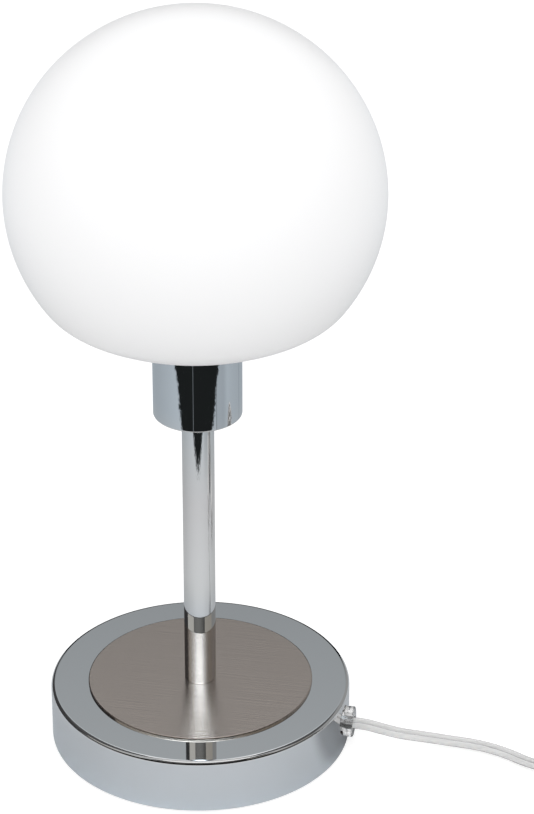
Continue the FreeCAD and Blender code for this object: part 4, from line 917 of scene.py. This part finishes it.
class LAMP_OT_base(bpy.types.Operator):
    """Chrome drum, brushed disc and stem, turned finely, and the finishes of what the base holds"""
    bl_idname = "lamp.base"
    bl_label = "Base and stem"

    def execute(self, context):
        low, high = piece_box("drum_cover")
        radius, wall = high[0], 1.2 * MM
        drum = rounded_outline([
            (tube_bore, high[2] - wall, 0), (radius - wall, high[2] - wall, 0.6 * MM),
            (radius - wall, low[2], 0), (radius, low[2], 0.15 * MM), (radius, high[2], 1.7 * MM),
            (tube_bore, high[2], 0)])
        add_turned("drum_cover_fine", drum, "polished_chrome", "drum_cover")
        low, high = piece_box("top_plate")
        plate = rounded_outline([(tube_bore, low[2], 0), (high[0], low[2], 0), (high[0], high[2], 0.45 * MM),
                                 (tube_bore, high[2], 0)])
        disc = add_turned("top_plate_fine", plate, "brushed_steel", "top_plate").data
        # The disc's side gets the darker copy of its steel, painted shade under the rim
        disc.materials.append(finish("steel_edge_painted_shade"))
        disc.polygons.foreach_set("material_index", [int(abs(face.normal.z) < 0.5) for face in disc.polygons])
        low, high = piece_box("stem_tube")
        inner = high[0] - 1.0 * MM
        stem = rounded_outline([(inner, low[2], 0), (high[0], low[2], 0.2 * MM), (high[0], high[2], 0.2 * MM),
                                (inner, high[2], 0)])
        add_turned("stem_tube_fine", stem, "polished_chrome", "stem_tube")
        dress("cast_iron", "ballast_weight")
        dress("zinc_steel", "bottom_plate", "base_screws", "rod_washer", "rod_nut", "threaded_tube",
              "clamp_screws")
        dress("foam", "base_pad")
        dress("clear_bush", "cord_gland", "gland_nut")
        # The cord clamp is given dark plastic, a painted shade for the inside of the base as seen through the
        # clear bush
        dress("dark_plastic", "cord_clamp")
        dress("core_cover", "live_lead", "neutral_lead")
        return {"FINISHED"}


class LAMP_OT_head(bpy.types.Operator):
    """Chrome cup, opal globe, lampholder and bulb"""
    bl_idname = "lamp.head"
    bl_label = "Head"

    def execute(self, context):
        low, high = piece_box("socket_cup")
        radius, inner, floor = high[0], high[0] - 0.8 * MM, low[2] + 1.0 * MM
        cup = rounded_outline([
            (tube_bore, low[2], 0), (radius, low[2], 0.5 * MM), (radius, high[2], 0.12 * MM),
            (inner, high[2], 0.12 * MM), (inner, floor, 0.5 * MM), (tube_bore, floor, 0)])
        add_turned("socket_cup_fine", cup, "polished_chrome", "socket_cup")
        globe = self.globe_outline(settings("lamp_glass").globe_rings)
        add_turned("globe_fine", globe, "opal_glass", "globe", "globe")
        dress("spring_steel", "globe_clip")
        dress("dark_plastic", "holder_cap", "holder_shell")
        dress("porcelain", "holder_insert")
        dress("brass", "centre_contact", "side_contact", "holder_terminals")
        dress("zinc_steel", "terminal_screws")
        dress("silicone", "globe_gasket")
        dress("frosted_glass", "bulb_envelope", "bulb_stem")
        dress("cap_aluminium", "bulb_cap")
        dress("black_glass", "bulb_insulator")
        dress("solder", "bulb_tip")
        dress("filament_coat", "bulb_filament")
        return {"FINISHED"}

    def globe_outline(self, steps):
        """Closed outline of the glass: crown, upper side, lower side, shoulder and dish as tangent arcs, and
        inside the same arcs with their radii less the wall, down to the neck."""
        low, high = piece_box("globe")
        wall, seat_edge, neck, bore = 2.6 * MM, 17.6 * MM, 15.8 * MM, 13.8 * MM
        belly, crown, meet, sweep = 71.3 * MM, 70.2 * MM, math.radians(45), math.radians(35)
        side, shoulder, dish = 67.0 * MM, 18.7 * MM, 106.0 * MM
        cos_m, sin_m = math.cos(meet), math.sin(meet)
        upper = (crown * cos_m - belly * (1 - sin_m)) / (cos_m + sin_m - 1)
        top = (belly - upper * (1 - cos_m)) / cos_m
        equator = high[2] - crown
        side_r = belly - side
        shoulder_r = side_r + (side - shoulder) * math.cos(sweep)
        shoulder_z = equator - (side - shoulder) * math.sin(sweep)
        lift = math.sqrt((dish - shoulder) ** 2 - shoulder_r ** 2)
        turn = math.atan2(lift, shoulder_r)
        centres = [((0, equator + crown - top), top, math.pi / 2, meet),
                   ((belly - upper, equator), upper, meet, 0),
                   ((side_r, equator), side, 0, -sweep),
                   ((shoulder_r, shoulder_z), shoulder, -sweep, -turn)]
        dish_z = shoulder_z + lift
        outside = [arc_points(centre, r, start, end, steps) for centre, r, start, end in centres]
        outside.append(arc_points((0, dish_z), dish, -turn, -math.acos(seat_edge / dish), steps))
        inside = [arc_points(centre, r - wall, start, end, steps) for centre, r, start, end in centres]
        inside.append(arc_points((0, dish_z), dish - wall, -turn, -math.acos(bore / (dish - wall)), steps))
        seat = outside[-1][-1, 1]
        lip_radius = (neck - bore) / 2
        lip = arc_points((bore + lip_radius, low[2] + lip_radius), lip_radius, 0, -math.pi, 12)
        down = np.array([[neck, seat]])
        return np.concatenate([*outside, down, lip, np.concatenate(inside)[::-1]])


class LAMP_OT_switch_and_plug(bpy.types.Operator):
    """Finishes of the rocker switch and the flat plug"""
    bl_idname = "lamp.switch_and_plug"
    bl_label = "Switch and plug"

    def execute(self, context):
        dress("white_plastic", "switch_base", "switch_cover", "switch_plunger", "cord_grips", "plug_body")
        dress("rocker_plastic", "switch_rocker")
        dress("zinc_steel", "rocker_pin", "switch_terminal_screws", "grip_screws", "switch_case_screws")
        dress("spring_steel", "plunger_spring")
        dress("brass", "contact_blade", "live_in_terminal", "live_out_terminal", "neutral_link")
        dress("core_cover", "switch_leads")
        dress("nickel", "plug_pins")
        dress("dark_plastic", "pin_sleeves")
        dress("strap", "coil_tie")
        return {"FINISHED"}


class LAMP_PT_panel(bpy.types.Panel):
    """Buttons that make the lamp's pieces, in order"""
    bl_label = "Glass globe table lamp"
    bl_space_type = "VIEW_3D"
    bl_region_type = "UI"
    bl_category = "Lamp"

    def draw(self, context):
        for name in ("lamp_stage", "lamp_flex", "lamp_metal", "lamp_glass"):
            box = self.layout.box()
            group = getattr(context.scene, name)
            for key in group.__annotations__:
                box.prop(group, key)
        for operator in OPERATORS:
            self.layout.operator(operator.bl_idname)


GROUPS = {"lamp_metal": LampMetal, "lamp_glass": LampGlass, "lamp_flex": LampFlex, "lamp_stage": LampStage}
OPERATORS = (LAMP_OT_stage, LAMP_OT_flex, LAMP_OT_base, LAMP_OT_head, LAMP_OT_switch_and_plug)


def register():
    for name, group in GROUPS.items():
        bpy.utils.register_class(group)
        setattr(bpy.types.Scene, name, bpy.props.PointerProperty(type=group))
    for operator in OPERATORS:
        bpy.utils.register_class(operator)
    bpy.utils.register_class(LAMP_PT_panel)


def unregister():
    bpy.utils.unregister_class(LAMP_PT_panel)
    for operator in reversed(OPERATORS):
        bpy.utils.unregister_class(operator)
    for name, group in GROUPS.items():
        delattr(bpy.types.Scene, name)
        bpy.utils.unregister_class(group)


def main():
    register()
    build_finishes()
    bpy.ops.lamp.stage()
    bpy.ops.lamp.flex()
    bpy.ops.lamp.base()
    bpy.ops.lamp.head()
    bpy.ops.lamp.switch_and_plug()


if __name__ == "__main__":
    main()
